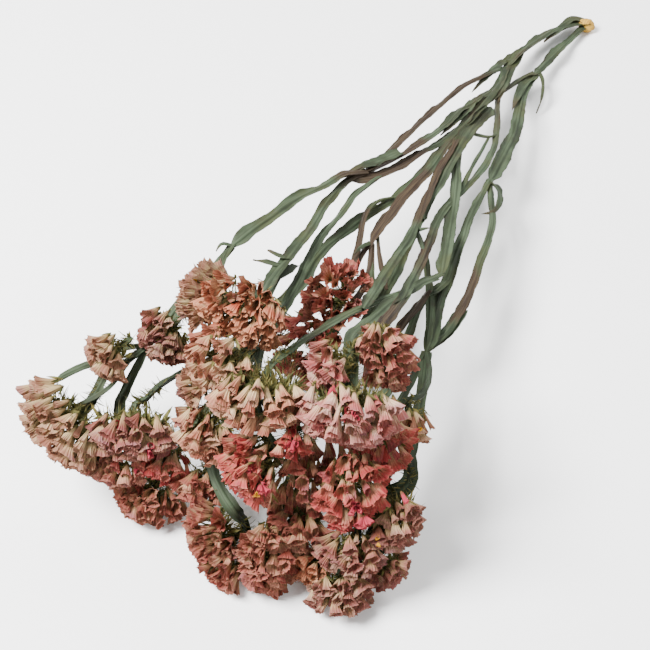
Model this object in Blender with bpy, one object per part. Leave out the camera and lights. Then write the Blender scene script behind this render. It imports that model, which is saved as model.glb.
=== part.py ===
"""Dried statice: one cut, branched flower stem that lies on a surface.

The cut base is at +Y and the flower heads are at -Y. All sizes in the tables are in millimetres. The finished
meshes are in metres, moved so that the origin is under the middle of the whole, on the surface.
"""

import math
import random
from typing import NamedTuple

import bmesh
import bpy
from mathutils import Matrix, Vector
from mathutils.bvhtree import BVHTree

MM = 0.001
SEED = 41

# Stems: a round middle with a thin wing on each side
STEM_MIDDLE = 3.0
LEAF_MIDDLE = 1.5
RING_STEP = 14.0
SHOULDER = 4.0
NARROW_START = 0.62
WING_WAVE = 0.7
WAVE_LENGTH = 46.0
CURVE_SAMPLES = 24
SHORT_EDGE = 0.6
SHORT_EDGE_ROUNDS = 6
LEAST_FACE_TURN = 0.3

# Green cup with pointed bracts that a flower head sits on
CUP_RADIUS = 3.4
CUP_DEPTH = 6.0
STEM_SINK = 1.5
BRACT_COUNT = 5
BRACT_REACH = 8.5
BRACT_DROOP = 2.2
SEAT_GAP = 0.4
APPROACH = 11.0

# Flower heads: funnels that stand out of a small core
MOUTH_RADIUS = 5.9
SMALL_HEAD = 15.0
CORE_RADIUS = 5.4
DOME_ANGLE = 88.0
SEAT_ANGLE = 122.0
SEAT_CELLS = 5
MOUTH_FILL = 0.88
MOUTH_SWOLLEN = 0.95
MOUTH_DIMPLE = 4.5
RIM_JITTER = 0.055
LENGTH_JITTER = 0.12
DIRECTION_JITTER = 0.10
CORNER_MERGE = 0.14

# Free room kept between a funnel and what belongs to another piece
CLEARANCE = 0.3
FUNNEL_SCALES = (1.0, 0.92, 0.84, 0.76, 0.68, 0.6, 0.5, 0.4, 0.3)


class Finish(NamedTuple):
    """Colour, roughness and metallic value of one material."""

    colour: tuple
    roughness: float
    metallic: float = 0.0


SAGE = Finish((0.16, 0.20, 0.13), 0.8)
PEACH = Finish((0.62, 0.30, 0.21), 0.85)
DUSTY_PINK = Finish((0.60, 0.33, 0.28), 0.85)
PALE_CREAM = Finish((0.66, 0.52, 0.40), 0.85)
CORAL = Finish((0.60, 0.16, 0.14), 0.85)
FADED_RED = Finish((0.42, 0.14, 0.11), 0.85)
MAUVE_PINK = Finish((0.52, 0.30, 0.28), 0.85)
BROWN_PINK = Finish((0.40, 0.20, 0.15), 0.85)


class Head(NamedTuple):
    """One flower head: where it is, which way its funnels look, and how far they reach."""

    name: str
    centre: tuple
    heading: float
    pitch: float
    lean: float
    reach: float
    spread: float
    finish: Finish


# The heading is counted from -Y towards +X and the pitch from level upwards, both in degrees.
# The lean turns the head's long side about the way it looks.
HEADS = (
    Head("head_crown", (-18, -51, 110), 10, 30, -9, 16, 18, PEACH),
    Head("head_crown_pale", (-51, -42, 97), -50, 48, 153, 14, 10, PALE_CREAM),
    Head("head_crown_lower", (-12, -82, 101), 2, 14, -40, 16, 12, DUSTY_PINK),
    Head("head_right_front", (58, -77, 104), 28, -8, -3, 17, 18, DUSTY_PINK),
    Head("head_right_above", (38, -65, 112), -8, 5, -45, 11, 8, DUSTY_PINK),
    Head("head_right_top", (54, -33, 99), 43, 13, -77, 15, 12, DUSTY_PINK),
    Head("head_middle", (16, -88, 98), 23, -8, -5, 16.5, 22, PEACH),
    Head("head_front_middle", (18, -109, 72), -13, 12, -45, 14, 14, CORAL),
    Head("head_coral", (66, -89, 60), 30, 8, 77, 15.5, 18, CORAL),
    Head("head_far_left", (-86, -127, 57), -10, 10, -29, 16.5, 24, PALE_CREAM),
    Head("head_left", (-49, -114, 57), 26, -8, 1, 14, 24, DUSTY_PINK),
    Head("head_low_right", (90, -85, 42), 42, -1, 56, 12, 16, MAUVE_PINK),
    Head("head_low_tip", (76, -116, 12), 28, -5, 0, 13.5, 8, MAUVE_PINK),
    Head("head_low_middle", (36, -123, 18), 15, 2, 98, 15.5, 22, BROWN_PINK),
    Head("head_low_left", (7, -128, 18), -20, 13, -43, 14.5, 22, BROWN_PINK),
    Head("head_left_low", (-39, -120, 13), 18, -1, -13, 14, 12, BROWN_PINK),
    Head("head_left_under", (-59, -125, 36), 13, -4, -10, 11.5, 16, DUSTY_PINK),
    Head("head_low_between", (75, -103, 31), 18, -1, 6, 13, 8, MAUVE_PINK),
    Head("head_low_under", (86, -100, 14), 34, -5, 18, 11.5, 6, MAUVE_PINK),
    Head("head_low_centre", (45, -106, 31), 22, 0, 0, 13, 9, BROWN_PINK),
    Head("head_low_peach", (55, -112, 15), -5, -2, -19, 12, 8, PEACH),
    Head("head_low_spike", (96, -93, 20), 83, -9, 12, 8, 2, MAUVE_PINK),
    Head("head_left_red", (-37, -110, 38), 22, -6, -12, 12, 10, FADED_RED),
    Head("head_back_red", (-6, 22, 62), 14, 74, 72, 16, 8, FADED_RED),
    Head("head_back_under", (-4, -9, 45), -2, 24, -5, 17, 12, FADED_RED),
    Head("head_inner", (35, -88, 46), 24, 5, 82, 16, 13, BROWN_PINK),
    Head("head_inner_right", (69, -67, 74), 42, 9, -10, 13, 8, FADED_RED),
    Head("head_small_ash", (-63, -63, 74), 4, 5, -50, 12.5, 8, MAUVE_PINK),
    Head("head_small_left", (-82, -87, 73), -10, 1, -35, 11, 8, PALE_CREAM),
    Head("head_small_middle", (-13, -100, 66), 7, 2, -38, 13.5, 10, DUSTY_PINK),
    Head("head_small_pink", (35, -91, 84), 26, 2, 95, 8.5, 2, CORAL),
    Head("head_small_tan", (-27, -87, 86), -33, 17, 134, 9, 2, PALE_CREAM),
    Head("head_low_gap", (-14, -108, 30), 8, -7, 0, 11.5, 8, BROWN_PINK),
    Head("head_small_right", (75, -41, 63), 35, -14, 81, 9, 4, PALE_CREAM),
)


class Branch(NamedTuple):
    """One stretch of winged stem between two forks, or between a fork and a flower head."""

    route: tuple
    width: float
    roll: float = 0.0
    twist: float = 0.0
    head: str = ""


# Forks that several branches share
BASE = (1, 394, 5)
FORK_UPPER = (-25, 304, 17)
FORK_LOWER = (-6, 311, 13)
FORK_MIDDLE = (-16, 211, 36)
FORK_HIGH = (-38, 116, 62)
FORK_LEFT = (-60, 3, 88)
FORK_FAR_LEFT = (-72, -64, 66)
FORK_BROWN = (-11, 74, 52)
FORK_EAST = (38, 67, 58)
FORK_WEST = (-38, -5, 44)
FORK_CENTRE = (-13, -43, 80)
FORK_LOOP = (21, 172, 37)
FORK_PALE = (7, 96, 59)
FORK_RIGHT = (52, 22, 45)
FORK_LOW = (14, -18, 30)
FORK_INNER = (50, -28, 56)
FORK_UNDER = (74, -69, 36)

BRANCHES = (
    Branch((BASE, (-10, 392, 6), (-16, 377, 7), (-21, 354, 10), (-25, 329, 13), FORK_UPPER), 12, 10, 20),
    Branch(((-1, 389, 5), (-3, 372, 6), (-5, 347, 8), (-6, 329, 10), FORK_LOWER), 9, -10, 20),
    Branch((FORK_UPPER, (-20, 276, 22), (-18, 248, 28), FORK_MIDDLE), 11, 20, -10),
    Branch((FORK_UPPER, (-31, 275, 27), (-36, 243, 35), (-37, 198, 45), (-37, 153, 54), FORK_HIGH),
            6, -15, 30),
    Branch((FORK_UPPER, (-18, 277, 20), (-10, 252, 24), (0, 230, 27), (8, 207, 31), (12, 183, 35),
            (12, 160, 39), (11, 139, 43), (12, 121, 47), (15, 103, 51), (20, 85, 56), (25, 65, 62),
            (29, 44, 68), (33, 27, 74), (35, 13, 80)), 7, 30, -60, "head_right_top"),
    Branch((FORK_LOWER, (-4, 285, 17), (4, 258, 22), (12, 230, 26), (17, 200, 32), FORK_LOOP), 11, 0, -20),
    Branch((FORK_LOWER, (-11, 298, 16), (-14, 277, 21), (-17, 253, 26), (-18, 229, 31), FORK_MIDDLE),
            9, 20, 20),
    Branch(((-21, 265, 24), (-24, 244, 28), (-26, 225, 34), (-25, 204, 39), (-26, 184, 44), (-28, 163, 50),
            (-31, 144, 55), (-35, 127, 59), FORK_HIGH), 9, 0, 30),
    Branch(((-18, 228, 31), (-19, 204, 36), (-20, 183, 41), (-23, 166, 46), (-25, 146, 51), (-28, 129, 56),
            (-34, 113, 60), (-42, 102, 65)), 9, 20, -20),
    Branch((FORK_HIGH, (-44, 99, 70), (-47, 80, 75), (-51, 62, 80), (-53, 47, 84), (-54, 33, 87),
            (-56, 20, 89), (-58, 11, 89), FORK_LEFT), 9, 10, -25),
    Branch((FORK_HIGH, (-41, 104, 65), (-42, 88, 68), (-40, 69, 72), (-36, 49, 76), (-33, 30, 80),
            (-31, 14, 83), (-29, -4, 88)), 9, -10, 25, "head_crown"),
    Branch(((-31, 120, 58), (-32, 104, 62), (-33, 91, 64), (-31, 75, 67), (-30, 63, 69), (-30, 51, 70),
            (-28, 38, 72), (-25, 23, 74), (-20, 3, 76), (-17, -19, 78), FORK_CENTRE), 7, 15, -20),
    Branch(((-31, 15, 83), (-27, -13, 82), (-20, -40, 84)), 6, 0, 10, "head_crown_lower"),
    Branch((FORK_LEFT, (-59, -10, 88)), 3.5, 0, 20, "head_crown_pale"),
    Branch((FORK_LEFT, (-65, -14, 79), (-71, -37, 70), FORK_FAR_LEFT), 8, -20, 20),
    Branch(((-65, -16, 79), (-66, -35, 76)), 4.5, 0, 30, "head_small_ash"),
    Branch((FORK_FAR_LEFT, (-76, -78, 64), (-81, -90, 62)), 8, 10, -10, "head_far_left"),
    Branch((FORK_FAR_LEFT, (-86, -71, 61), (-94, -82, 58), (-101, -95, 58), (-103, -104, 60)), 6, -10, 20),
    Branch(((-75, -78, 64), (-76, -92, 61), (-81, -103, 58), (-87, -112, 57)), 5, 0, 30),
    Branch((FORK_FAR_LEFT, (-72, -76, 58), (-73, -86, 50), (-73, -93, 44)), 8, -10, 10, "head_left_under"),
    Branch((FORK_FAR_LEFT, (-80, -71, 69)), 4, 0, 0, "head_small_left"),
    Branch((FORK_MIDDLE, (-16, 188, 39), (-16, 168, 43), (-15, 144, 46), (-17, 128, 47), (-19, 114, 48),
            (-23, 103, 48), (-27, 89, 49), (-31, 73, 49), (-34, 59, 49), (-35, 46, 48), (-34, 30, 46),
            FORK_WEST), 9, 10, -30),
    Branch((FORK_WEST, (-39, -33, 48), (-49, -57, 55), (-54, -79, 60), (-55, -91, 61)),
            6, 20, 20, "head_left"),
    Branch((FORK_WEST, (-34, -40, 42), (-35, -70, 36), (-37, -96, 29)), 7, 0, 15, "head_left_low"),
    Branch(((-35, -70, 36), (-33, -91, 40)), 4.5, 0, 0, "head_left_red"),
    Branch((FORK_WEST, (-28, -41, 42), (-18, -75, 41), (-11, -97, 40), (0, -106, 36), (10, -110, 30)),
            8, -10, 20, "head_low_left"),
    Branch(((-14, -89, 41), (-14, -99, 38)), 4.5, 0, 0, "head_low_gap"),
    Branch((FORK_MIDDLE, (-15, 183, 42), (-12, 156, 47), (-12, 134, 50), (-12, 112, 52), (-12, 96, 52),
            (-12, 84, 52), FORK_BROWN), 8, -20, 30),
    Branch((FORK_BROWN, (-12, 62, 50)), 7, 20, 0, "head_back_red"),
    Branch((FORK_BROWN, (-2, 51, 45), (-2, 22, 40)), 6, -20, 10, "head_back_under"),
    Branch(((-11, 81, 51), (-4, 70, 50), (6, 57, 50), (12, 50, 47)), 4, 0, 30),
    Branch(((-10, 74, 51), (-5, 64, 48), (1, 53, 46), (9, 46, 40)), 3.5, 0, 0),
    Branch(((-19, 115, 50), (-24, 105, 53), (-24, 91, 55), (-19, 76, 55), (-14, 62, 52), (-12, 52, 50)),
            5, 30, -20),
    Branch(((6, 106, 51), (2, 125, 49), (-1, 143, 47), (-4, 161, 45), (-7, 180, 42), (-10, 201, 38),
            (-12, 224, 32), (-13, 247, 26)), 11, -20, 40),
    Branch((FORK_MIDDLE, (-10, 179, 43), (-7, 156, 47), (-2, 132, 51), FORK_PALE, (11, 77, 63),
            (13, 61, 67), (15, 47, 71), (17, 33, 75), (20, 19, 80), (23, 0, 86)), 7, 10, -20),
    Branch(((37, 61, 60), (34, 47, 66), (32, 31, 72), (30, 16, 78), (30, 0, 84), (30, -15, 90),
            (33, -30, 97)), 10, 0, 20, "head_right_front"),
    Branch((FORK_MIDDLE, (-8, 184, 40), (5, 155, 43), (14, 133, 45), (22, 111, 48), (30, 89, 53),
            FORK_EAST), 9, -10, 30),
    Branch((FORK_EAST, (35, 53, 63), (29, 31, 72), (23, 13, 78), (18, -4, 84), (13, -22, 88), (9, -39, 92),
            (7, -54, 96)), 6, 0, 20, "head_middle"),
    Branch(((36, 56, 53), (37, 45, 57), (38, 34, 60), (38, 23, 62), (38, 11, 62)), 7, 20, -10),
    Branch(((37, 48, 56), (38, 35, 56), (40, 24, 54), (42, 12, 52), (47, -8, 54), FORK_INNER), 7, -20, 20),
    Branch((FORK_CENTRE, (-2, -67, 79), (12, -84, 76)), 7, 0, 20, "head_front_middle"),
    Branch(((1, -71, 79), (20, -80, 82)), 4, 0, 0, "head_small_pink"),
    Branch((FORK_CENTRE, (-14, -64, 73)), 5, 10, 0, "head_small_middle"),
    Branch((FORK_CENTRE, (-21, -62, 82)), 4, 0, 0, "head_small_tan"),
    Branch((FORK_LOOP, (31, 151, 39), (39, 136, 40), (44, 119, 40), (47, 101, 40), (51, 84, 41),
            (54, 67, 42), (55, 53, 43), (55, 39, 44), FORK_RIGHT), 7, -10, 30),
    Branch((FORK_LOOP, (24, 147, 40), (27, 127, 42), (31, 111, 43), (34, 95, 44), (38, 78, 45),
            (41, 62, 46), (45, 47, 47), (49, 35, 46), FORK_RIGHT), 9, 20, -20),
    Branch(((9, 90, 59), (17, 82, 58), (24, 74, 56), (30, 65, 54), (38, 53, 52), (44, 42, 50),
            (48, 32, 47), FORK_RIGHT), 6, -20, 40),
    Branch(((39, 75, 45), (38, 61, 49), (36, 51, 53)), 8, 10, 10),
    Branch(((1, 213, 32), (4, 194, 35), (7, 173, 39), (11, 150, 42)), 3.5, 0, 0),
    Branch(((4, 222, 29), (0, 212, 33), (-9, 205, 37)), 3, 0, 0),
    Branch((FORK_RIGHT, (64, -9, 45), (74, -40, 45), (83, -60, 46)), 10, 0, -20, "head_low_right"),
    Branch((FORK_RIGHT, (63, 3, 54), (69, -19, 64)), 4.5, 0, 20, "head_small_right"),
    Branch((FORK_RIGHT, (55, -12, 42), (63, -43, 39), FORK_UNDER), 8, 15, -15),
    Branch((FORK_UNDER, (76, -86, 29), (76, -103, 22)), 6, 0, 15, "head_low_tip"),
    Branch((FORK_UNDER, (72, -79, 33)), 6, 20, 0, "head_low_between"),
    Branch((FORK_UNDER, (81, -81, 30), (85, -91, 23)), 5, 0, 15, "head_low_under"),
    Branch(((76, -97, 24), (68, -101, 22)), 4, 0, 0, "head_low_peach"),
    Branch(((80, -80, 31), (88, -86, 27)), 4.5, 30, 0, "head_low_spike"),
    Branch((FORK_INNER, (55, -52, 59)), 6, 0, 10, "head_coral"),
    Branch((FORK_INNER, (58, -43, 68)), 5, 10, 10, "head_inner_right"),
    Branch((FORK_MIDDLE, (-7, 160, 38), (-3, 128, 37), (1, 103, 36), (3, 87, 35), (5, 73, 34), (6, 58, 32),
            (8, 37, 31), (12, 10, 30), FORK_LOW), 9, 10, -20),
    Branch((FORK_LOW, (21, -53, 27), (25, -84, 25)), 7, 0, 20, "head_low_middle"),
    Branch(((23, -65, 27), (35, -86, 30)), 5, 0, 20, "head_low_centre"),
    Branch((FORK_LOW, (22, -46, 38)), 6, -20, 20, "head_inner"),
    Branch(((30, -15, 90), (34, -31, 99)), 5, 0, 0, "head_right_above"),
)


class StrapLeaf(NamedTuple):
    """A narrow leaf that grows at a fork, widest a third of the way along."""

    route: tuple
    width: float
    roll: float = 0.0


STRAP_LEAVES = (
    StrapLeaf(((2, 394, 6), (-8, 385, 7), (-14, 368, 9), (-17, 351, 11)), 14, 20),
    StrapLeaf(((-25, 323, 14), (-22, 299, 19), (-16, 275, 23), (-11, 255, 26)), 15, 10),
    StrapLeaf(((-30, 311, 16), (-30, 293, 21), (-30, 275, 25), (-30, 253, 29)), 9, 0),
    StrapLeaf(((-5, 307, 14), (-7, 293, 17), (-4, 273, 21), (0, 254, 25)), 10, 0),
    StrapLeaf(((-31, 147, 56), (-35, 134, 59), (-40, 119, 63), (-46, 103, 67)), 12, 0),
    StrapLeaf(((-24, 254, 26), (-23, 230, 32), (-22, 210, 37), (-23, 189, 42)), 12, 20),
    StrapLeaf(((-7, 317, 13), (2, 306, 13), (7, 293, 10), (8, 283, 4)), 4, 30),
    StrapLeaf(((21, 171, 37), (29, 164, 40), (35, 154, 42), (36, 144, 41), (30, 139, 40)), 8, -40),
    StrapLeaf(((-31, 14, 83), (-34, 11, 86), (-42, 10, 88)), 6, 10),
    StrapLeaf(((-29, 7, 84), (-36, 3, 87), (-45, 0, 88)), 5, 0),
    StrapLeaf(((-27, 15, 79), (-27, -1, 85), (-30, -13, 90)), 8, 0),
    StrapLeaf(((10, 89, 59), (14, 90, 62), (17, 93, 62)), 3, 20),
    StrapLeaf(((55, 62, 42), (56, 47, 43), (55, 34, 44), (53, 23, 45)), 12, 10),
    StrapLeaf(((-60, 6, 88), (-57, -7, 91), (-53, -17, 93), (-50, -26, 92)), 3, 0),
    StrapLeaf(((-60, 3, 88), (-64, -1, 91), (-64, -7, 91)), 4, 0),
    StrapLeaf(((-11, 74, 52), (-13, 66, 55), (-14, 56, 56)), 4, -20),
)

# Straw-coloured swelling of the cut base
HEEL_CENTRE = (0, 394, 4.2)
HEEL_RADII = (6.4, 5.6, 5.4)

HEAD_BY_NAME = {head.name: head for head in HEADS}


def clear_scene():
    """Remove every object that the scene starts with."""
    for item in list(bpy.data.objects):
        bpy.data.objects.remove(item)


def material(name, finish):
    """Make a Principled material from a finish."""
    made = bpy.data.materials.new(name)
    made.use_nodes = True
    shader = made.node_tree.nodes["Principled BSDF"]
    shader.inputs["Base Color"].default_value = (*finish.colour, 1.0)
    shader.inputs["Roughness"].default_value = finish.roughness
    shader.inputs["Metallic"].default_value = finish.metallic
    made.diffuse_color = (*finish.colour, 1.0)
    return made


def mesh_object(name, verts, faces):
    """Make an object from points in millimetres and faces, and link it to the scene."""
    mesh = bpy.data.meshes.new(name)
    mesh.from_pydata([Vector(v) * MM for v in verts], [], faces)
    mesh.update()
    made = bpy.data.objects.new(name, mesh)
    bpy.context.scene.collection.objects.link(made)
    return made


def facing(head):
    """The unit vector along which a head's funnels look."""
    heading = math.radians(head.heading)
    pitch = math.radians(head.pitch)
    level = math.cos(pitch)
    return Vector((math.sin(heading) * level, -math.cos(heading) * level, math.sin(pitch)))


def head_axes(head):
    """The long side, the short side and the facing of a head, as unit vectors."""
    out = facing(head)
    level = Vector((-out.y, out.x, 0.0)).normalized()
    along = Matrix.Rotation(math.radians(head.lean), 3, out) @ level
    return along, out.cross(along), out


def core_height(head):
    """How far a head's core centre stands above its seat."""
    return core_radius(head) + SEAT_GAP


def smallness(head):
    """The share of full size that a small head's core, cup and funnels have."""
    return min(1.0, head.reach / SMALL_HEAD)


def core_radius(head):
    """Radius of the core that a head's funnels stand out of."""
    return CORE_RADIUS * smallness(head)


def mouth_radius(head):
    """Radius of a funnel's mouth."""
    return MOUTH_RADIUS * (0.4 + 0.6 * smallness(head))


def seat_point(head):
    """Where the stem ends and the head begins."""
    depth = (core_height(head) + head.reach) / 2
    return Vector(head.centre) - facing(head) * depth


def smooth_curve(points):
    """Points along a smooth curve through the given ones."""
    knots = [Vector(p) for p in points]
    before = knots[0] * 2 - knots[1]
    after = knots[-1] * 2 - knots[-2]
    padded = [before, *knots, after]
    curve = []
    for a, b, c, d in zip(padded, padded[1:], padded[2:], padded[3:]):
        for step in range(CURVE_SAMPLES):
            t = step / CURVE_SAMPLES
            curve.append(0.5 * (2 * b + (c - a) * t + (2 * a - 5 * b + 4 * c - d) * t ** 2
                                + (3 * b - 3 * c + d - a) * t ** 3))
    curve.append(knots[-1])
    return curve


def curve_length(curve):
    """The length of a curve given as close points."""
    return sum((b - a).length for a, b in zip(curve, curve[1:]))


def station_at(curve, share):
    """A station at a share of a curve's length: place, direction and share."""
    left = share * curve_length(curve)
    for a, b in zip(curve, curve[1:]):
        step = (b - a).length
        if left <= step:
            return a.lerp(b, left / step), (b - a).normalized(), share
        left -= step
    return curve[-1].copy(), (curve[-1] - curve[-2]).normalized(), share


def even_stations(curve, step):
    """Stations at even distances along a curve, and the curve's length."""
    length = curve_length(curve)
    count = max(3, round(length / step) + 1)
    return [station_at(curve, number / (count - 1)) for number in range(count)], length


def branch_route(branch):
    """A branch's route, led square onto its flower head's seat where it carries one."""
    if not branch.head:
        return branch.route
    head = HEAD_BY_NAME[branch.head]
    seat = seat_point(head)
    return (*branch.route, seat - facing(head) * APPROACH, seat - facing(head) * STEM_SINK)


def wing_width(branch, share, length):
    """Full width across the wings: narrow after a fork, broad before the next, then a sloping shoulder."""
    grown = NARROW_START + (1 - NARROW_START) * math.sin(share * math.pi / 2) ** 1.5
    wave = 0.06 * math.sin(share * length / WAVE_LENGTH * 2 * math.pi)
    slope = 1.0 if branch.head else min(1.0, 0.55 + 0.45 * (1 - share) * length / SHOULDER)
    return branch.width * (grown + wave) * slope


def section(place, direction, roll, width, middle, lift):
    """Four points of a winged cross-section, with the wings in the rolled level."""
    side = Vector((direction.y, -direction.x, 0.0)).normalized()
    side = Matrix.Rotation(math.radians(roll), 3, direction) @ side
    up = side.cross(direction).normalized()
    if up.z < 0:
        up = -up
    half = side * width / 2
    wave = up * lift
    thick = up * middle / 2
    return [place + half + wave, place + thick, place - half - wave, place - thick]


def ring_faces(count):
    """Triangles between four-sided rings, split alike on both faces of a blade, and the two end caps."""
    faces = []
    for ring in range(count - 1):
        for k in range(4):
            a = ring * 4 + k
            b = ring * 4 + (k + 1) % 4
            c, d = b + 4, a + 4
            faces += [(a, b, c), (a, c, d)] if k < 2 else [(a, b, d), (b, c, d)]
    last = (count - 1) * 4
    faces += [(0, 3, 1), (1, 3, 2), (last, last + 1, last + 3), (last + 1, last + 2, last + 3)]
    return faces


def outward(made):
    """Turn an object's faces so that they all look out."""
    work = bmesh.new()
    work.from_mesh(made.data)
    bmesh.ops.recalc_face_normals(work, faces=work.faces)
    if work.calc_volume(signed=True) < 0:
        bmesh.ops.reverse_faces(work, faces=work.faces)
    work.to_mesh(made.data)
    work.free()
    return made


def winged_stem(name, branch):
    """Loft one branch: a stem with a wing on each side that waves a little."""
    curve = smooth_curve(branch_route(branch))
    stations, length = even_stations(curve, RING_STEP)
    if not branch.head:
        stations.insert(-1, station_at(curve, 1 - SHOULDER / length))
    verts = []
    for place, direction, share in stations:
        roll = branch.roll + branch.twist * share
        width = wing_width(branch, share, length)
        lift = WING_WAVE * math.sin(share * length / WAVE_LENGTH * 4 * math.pi) * min(1.0, width / 10)
        verts += section(place, direction, roll, width, min(STEM_MIDDLE, width * 0.6), lift)
    return outward(mesh_object(name, verts, ring_faces(len(stations))))


def strap_leaf(name, leaf):
    """Loft one narrow leaf that tapers to a blunt point."""
    stations, _ = even_stations(smooth_curve(leaf.route), RING_STEP * 0.7)
    verts = []
    for place, direction, share in stations:
        width = leaf.width * (0.55 + 0.9 * share - 1.25 * share ** 2)
        verts += section(place, direction, leaf.roll, max(width, LEAF_MIDDLE), LEAF_MIDDLE, 0.0)
    return outward(mesh_object(name, verts, ring_faces(len(stations))))


def bract_cup(name, head):
    """A star-shaped cup of pointed bracts on the stem's end, under a flower head."""
    along, across, out = head_axes(head)
    seat = seat_point(head)
    points = 2 * BRACT_COUNT
    verts = [seat - out * CUP_DEPTH, seat]
    for k in range(points):
        angle = 2 * math.pi * k / points
        radius, drop = (BRACT_REACH, BRACT_DROOP) if k % 2 else (CUP_RADIUS, 0.1)
        ray = along * math.cos(angle) + across * math.sin(angle)
        verts.append(seat + ray * radius * smallness(head) - out * drop)
    faces = []
    for k in range(points):
        a, b = 2 + k, 2 + (k + 1) % points
        faces += [(0, b, a), (1, a, b)]
    return outward(mesh_object(name, verts, faces))


def cut_heel(name):
    """The swollen cut base, where the two stems part."""
    work = bmesh.new()
    bmesh.ops.create_icosphere(work, subdivisions=2, radius=1.0)
    for vert in work.verts:
        vert.co = Vector(HEEL_CENTRE) + Vector((vert.co.x * HEEL_RADII[0], vert.co.y * HEEL_RADII[1],
                                                vert.co.z * HEEL_RADII[2]))
        vert.co.z = max(vert.co.z, 0.0)
    verts = [tuple(v.co) for v in work.verts]
    faces = [tuple(v.index for v in f.verts) for f in work.faces]
    work.free()
    return outward(mesh_object(name, verts, faces))


def clamp_to_floor(made):
    """Flatten what would reach below the surface that the stem lies on."""
    for vert in made.data.vertices:
        vert.co.z = max(vert.co.z, 0.0)


def union_of(name, pieces):
    """Join pieces that run into each other in one closed body, by one Boolean on a collection."""
    group = bpy.data.collections.new(name + "_pieces")
    bpy.context.scene.collection.children.link(group)
    first, rest = pieces[0], pieces[1:]
    for piece in rest:
        group.objects.link(piece)
        bpy.context.scene.collection.objects.unlink(piece)
    join = first.modifiers.new("union", "BOOLEAN")
    join.operation = "UNION"
    join.operand_type = "COLLECTION"
    join.collection = group
    join.solver = "MANIFOLD"
    depsgraph = bpy.context.evaluated_depsgraph_get()
    mesh = bpy.data.meshes.new_from_object(first.evaluated_get(depsgraph))
    for piece in pieces:
        bpy.data.objects.remove(piece)
    bpy.data.collections.remove(group)
    made = bpy.data.objects.new(name, mesh)
    bpy.context.scene.collection.objects.link(made)
    keep_outer_body(made)
    return made


def keep_outer_body(made):
    """Keep a mesh's largest body, without loose scraps and sealed hollows."""
    work = bmesh.new()
    work.from_mesh(made.data)
    bmesh.ops.triangulate(work, faces=work.faces)
    drop_short_edges(work)
    bodies = []
    waiting = set(work.faces)
    while waiting:
        front = [waiting.pop()]
        body = []
        while front:
            face = front.pop()
            body.append(face)
            for edge in face.edges:
                for other in edge.link_faces:
                    if other in waiting and len(edge.link_faces) == 2:
                        waiting.remove(other)
                        front.append(other)
        bodies.append(body)
    bodies.sort(key=len, reverse=True)
    for body in bodies[1:]:
        bmesh.ops.delete(work, geom=body, context="FACES")
    work.to_mesh(made.data)
    work.free()


def funnel_directions(head, draw):
    """Even directions over a head's dome with a little scatter, then those of its seat."""
    widest = 1 - math.cos(math.radians(DOME_ANGLE))
    dome = 2 * math.pi * head.reach ** 2 * widest + math.pi * head.reach * head.spread
    count = max(7, round(dome / (math.pi * mouth_radius(head) ** 2)))
    directions = []
    for number in range(count):
        height = 1 - widest * (number + 0.5) / count
        turn = number * math.pi * (3 - math.sqrt(5)) + draw.uniform(-0.1, 0.1)
        flat = math.sqrt(1 - height ** 2)
        scatter = Vector([draw.uniform(-1, 1) * DIRECTION_JITTER for _ in range(3)])
        even = Vector((flat * math.cos(turn), flat * math.sin(turn), height))
        directions.append((even + scatter).normalized())
    low = math.radians(SEAT_ANGLE)
    for number in range(SEAT_CELLS):
        turn = 2 * math.pi * number / SEAT_CELLS
        rim = Vector((math.cos(turn), math.sin(turn), 0)) * math.sin(low)
        directions.append(rim + Vector((0, 0, math.cos(low))))
    directions.append(Vector((0.0, 0.0, -1.0)))
    return directions, count


def cell_corners(directions):
    """Split the sphere of directions in cells, one around each, and give the corners of every cell."""
    work = bmesh.new()
    spots = [work.verts.new(d) for d in directions]
    bmesh.ops.convex_hull(work, input=spots)
    bmesh.ops.triangulate(work, faces=work.faces)
    bmesh.ops.recalc_face_normals(work, faces=work.faces)
    work.faces.index_update()
    normals = [face.normal.copy() for face in sorted(work.faces, key=lambda f: f.index)]
    corners, made_one = one_where_close(normals)
    cells = []
    for spot, centre in zip(spots, directions):
        side = centre.orthogonal().normalized()
        up = centre.cross(side)
        around = sorted(spot.link_faces, key=lambda f: math.atan2(f.normal.dot(up), f.normal.dot(side)))
        ring = [made_one[face.index] for face in around]
        cells.append([here for here, before in zip(ring, ring[-1:] + ring) if here != before])
    work.free()
    return corners, cells


def one_where_close(points):
    """Make points one that nearly meet; give what is left and the new number of each old point."""
    kept = []
    numbers = []
    for point in points:
        near = [k for k, other in enumerate(kept) if (other - point).length < CORNER_MERGE]
        numbers.append(near[0] if near else len(kept))
        if not near:
            kept.append(point)
    return kept, numbers


def drop_short_edges(work):
    """Collapse the short edges that a Boolean leaves, wherever the surface stays closed and unfolded."""
    for _ in range(SHORT_EDGE_ROUNDS):
        touched = set()
        targets = {}
        for edge in sorted(work.edges, key=lambda e: e.calc_length()):
            if edge.calc_length() > SHORT_EDGE * MM:
                break
            kept, gone = edge.verts
            ring = {e.other_vert(gone) for e in gone.link_edges}
            wide_ring = ring | {e.other_vert(kept) for e in kept.link_edges}
            if touched & wide_ring or not collapses_well(kept, gone, ring):
                continue
            targets[gone] = kept
            touched |= wide_ring
        bmesh.ops.weld_verts(work, targetmap=targets)


def collapses_well(kept, gone, ring):
    """Whether moving one vertex onto its neighbour leaves a closed surface that isn't folded over."""
    edges = set(kept.link_edges) | set(gone.link_edges)
    if any(len(edge.link_faces) != 2 for edge in edges):
        return False
    if len(ring & {edge.other_vert(kept) for edge in kept.link_edges}) != 2:
        return False
    for face in gone.link_faces:
        if kept in face.verts:
            continue
        a, b, c = [kept.co if vert == gone else vert.co for vert in face.verts]
        if (b - a).cross(c - a).normalized().dot(face.normal) < LEAST_FACE_TURN:
            return False
    return True


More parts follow.
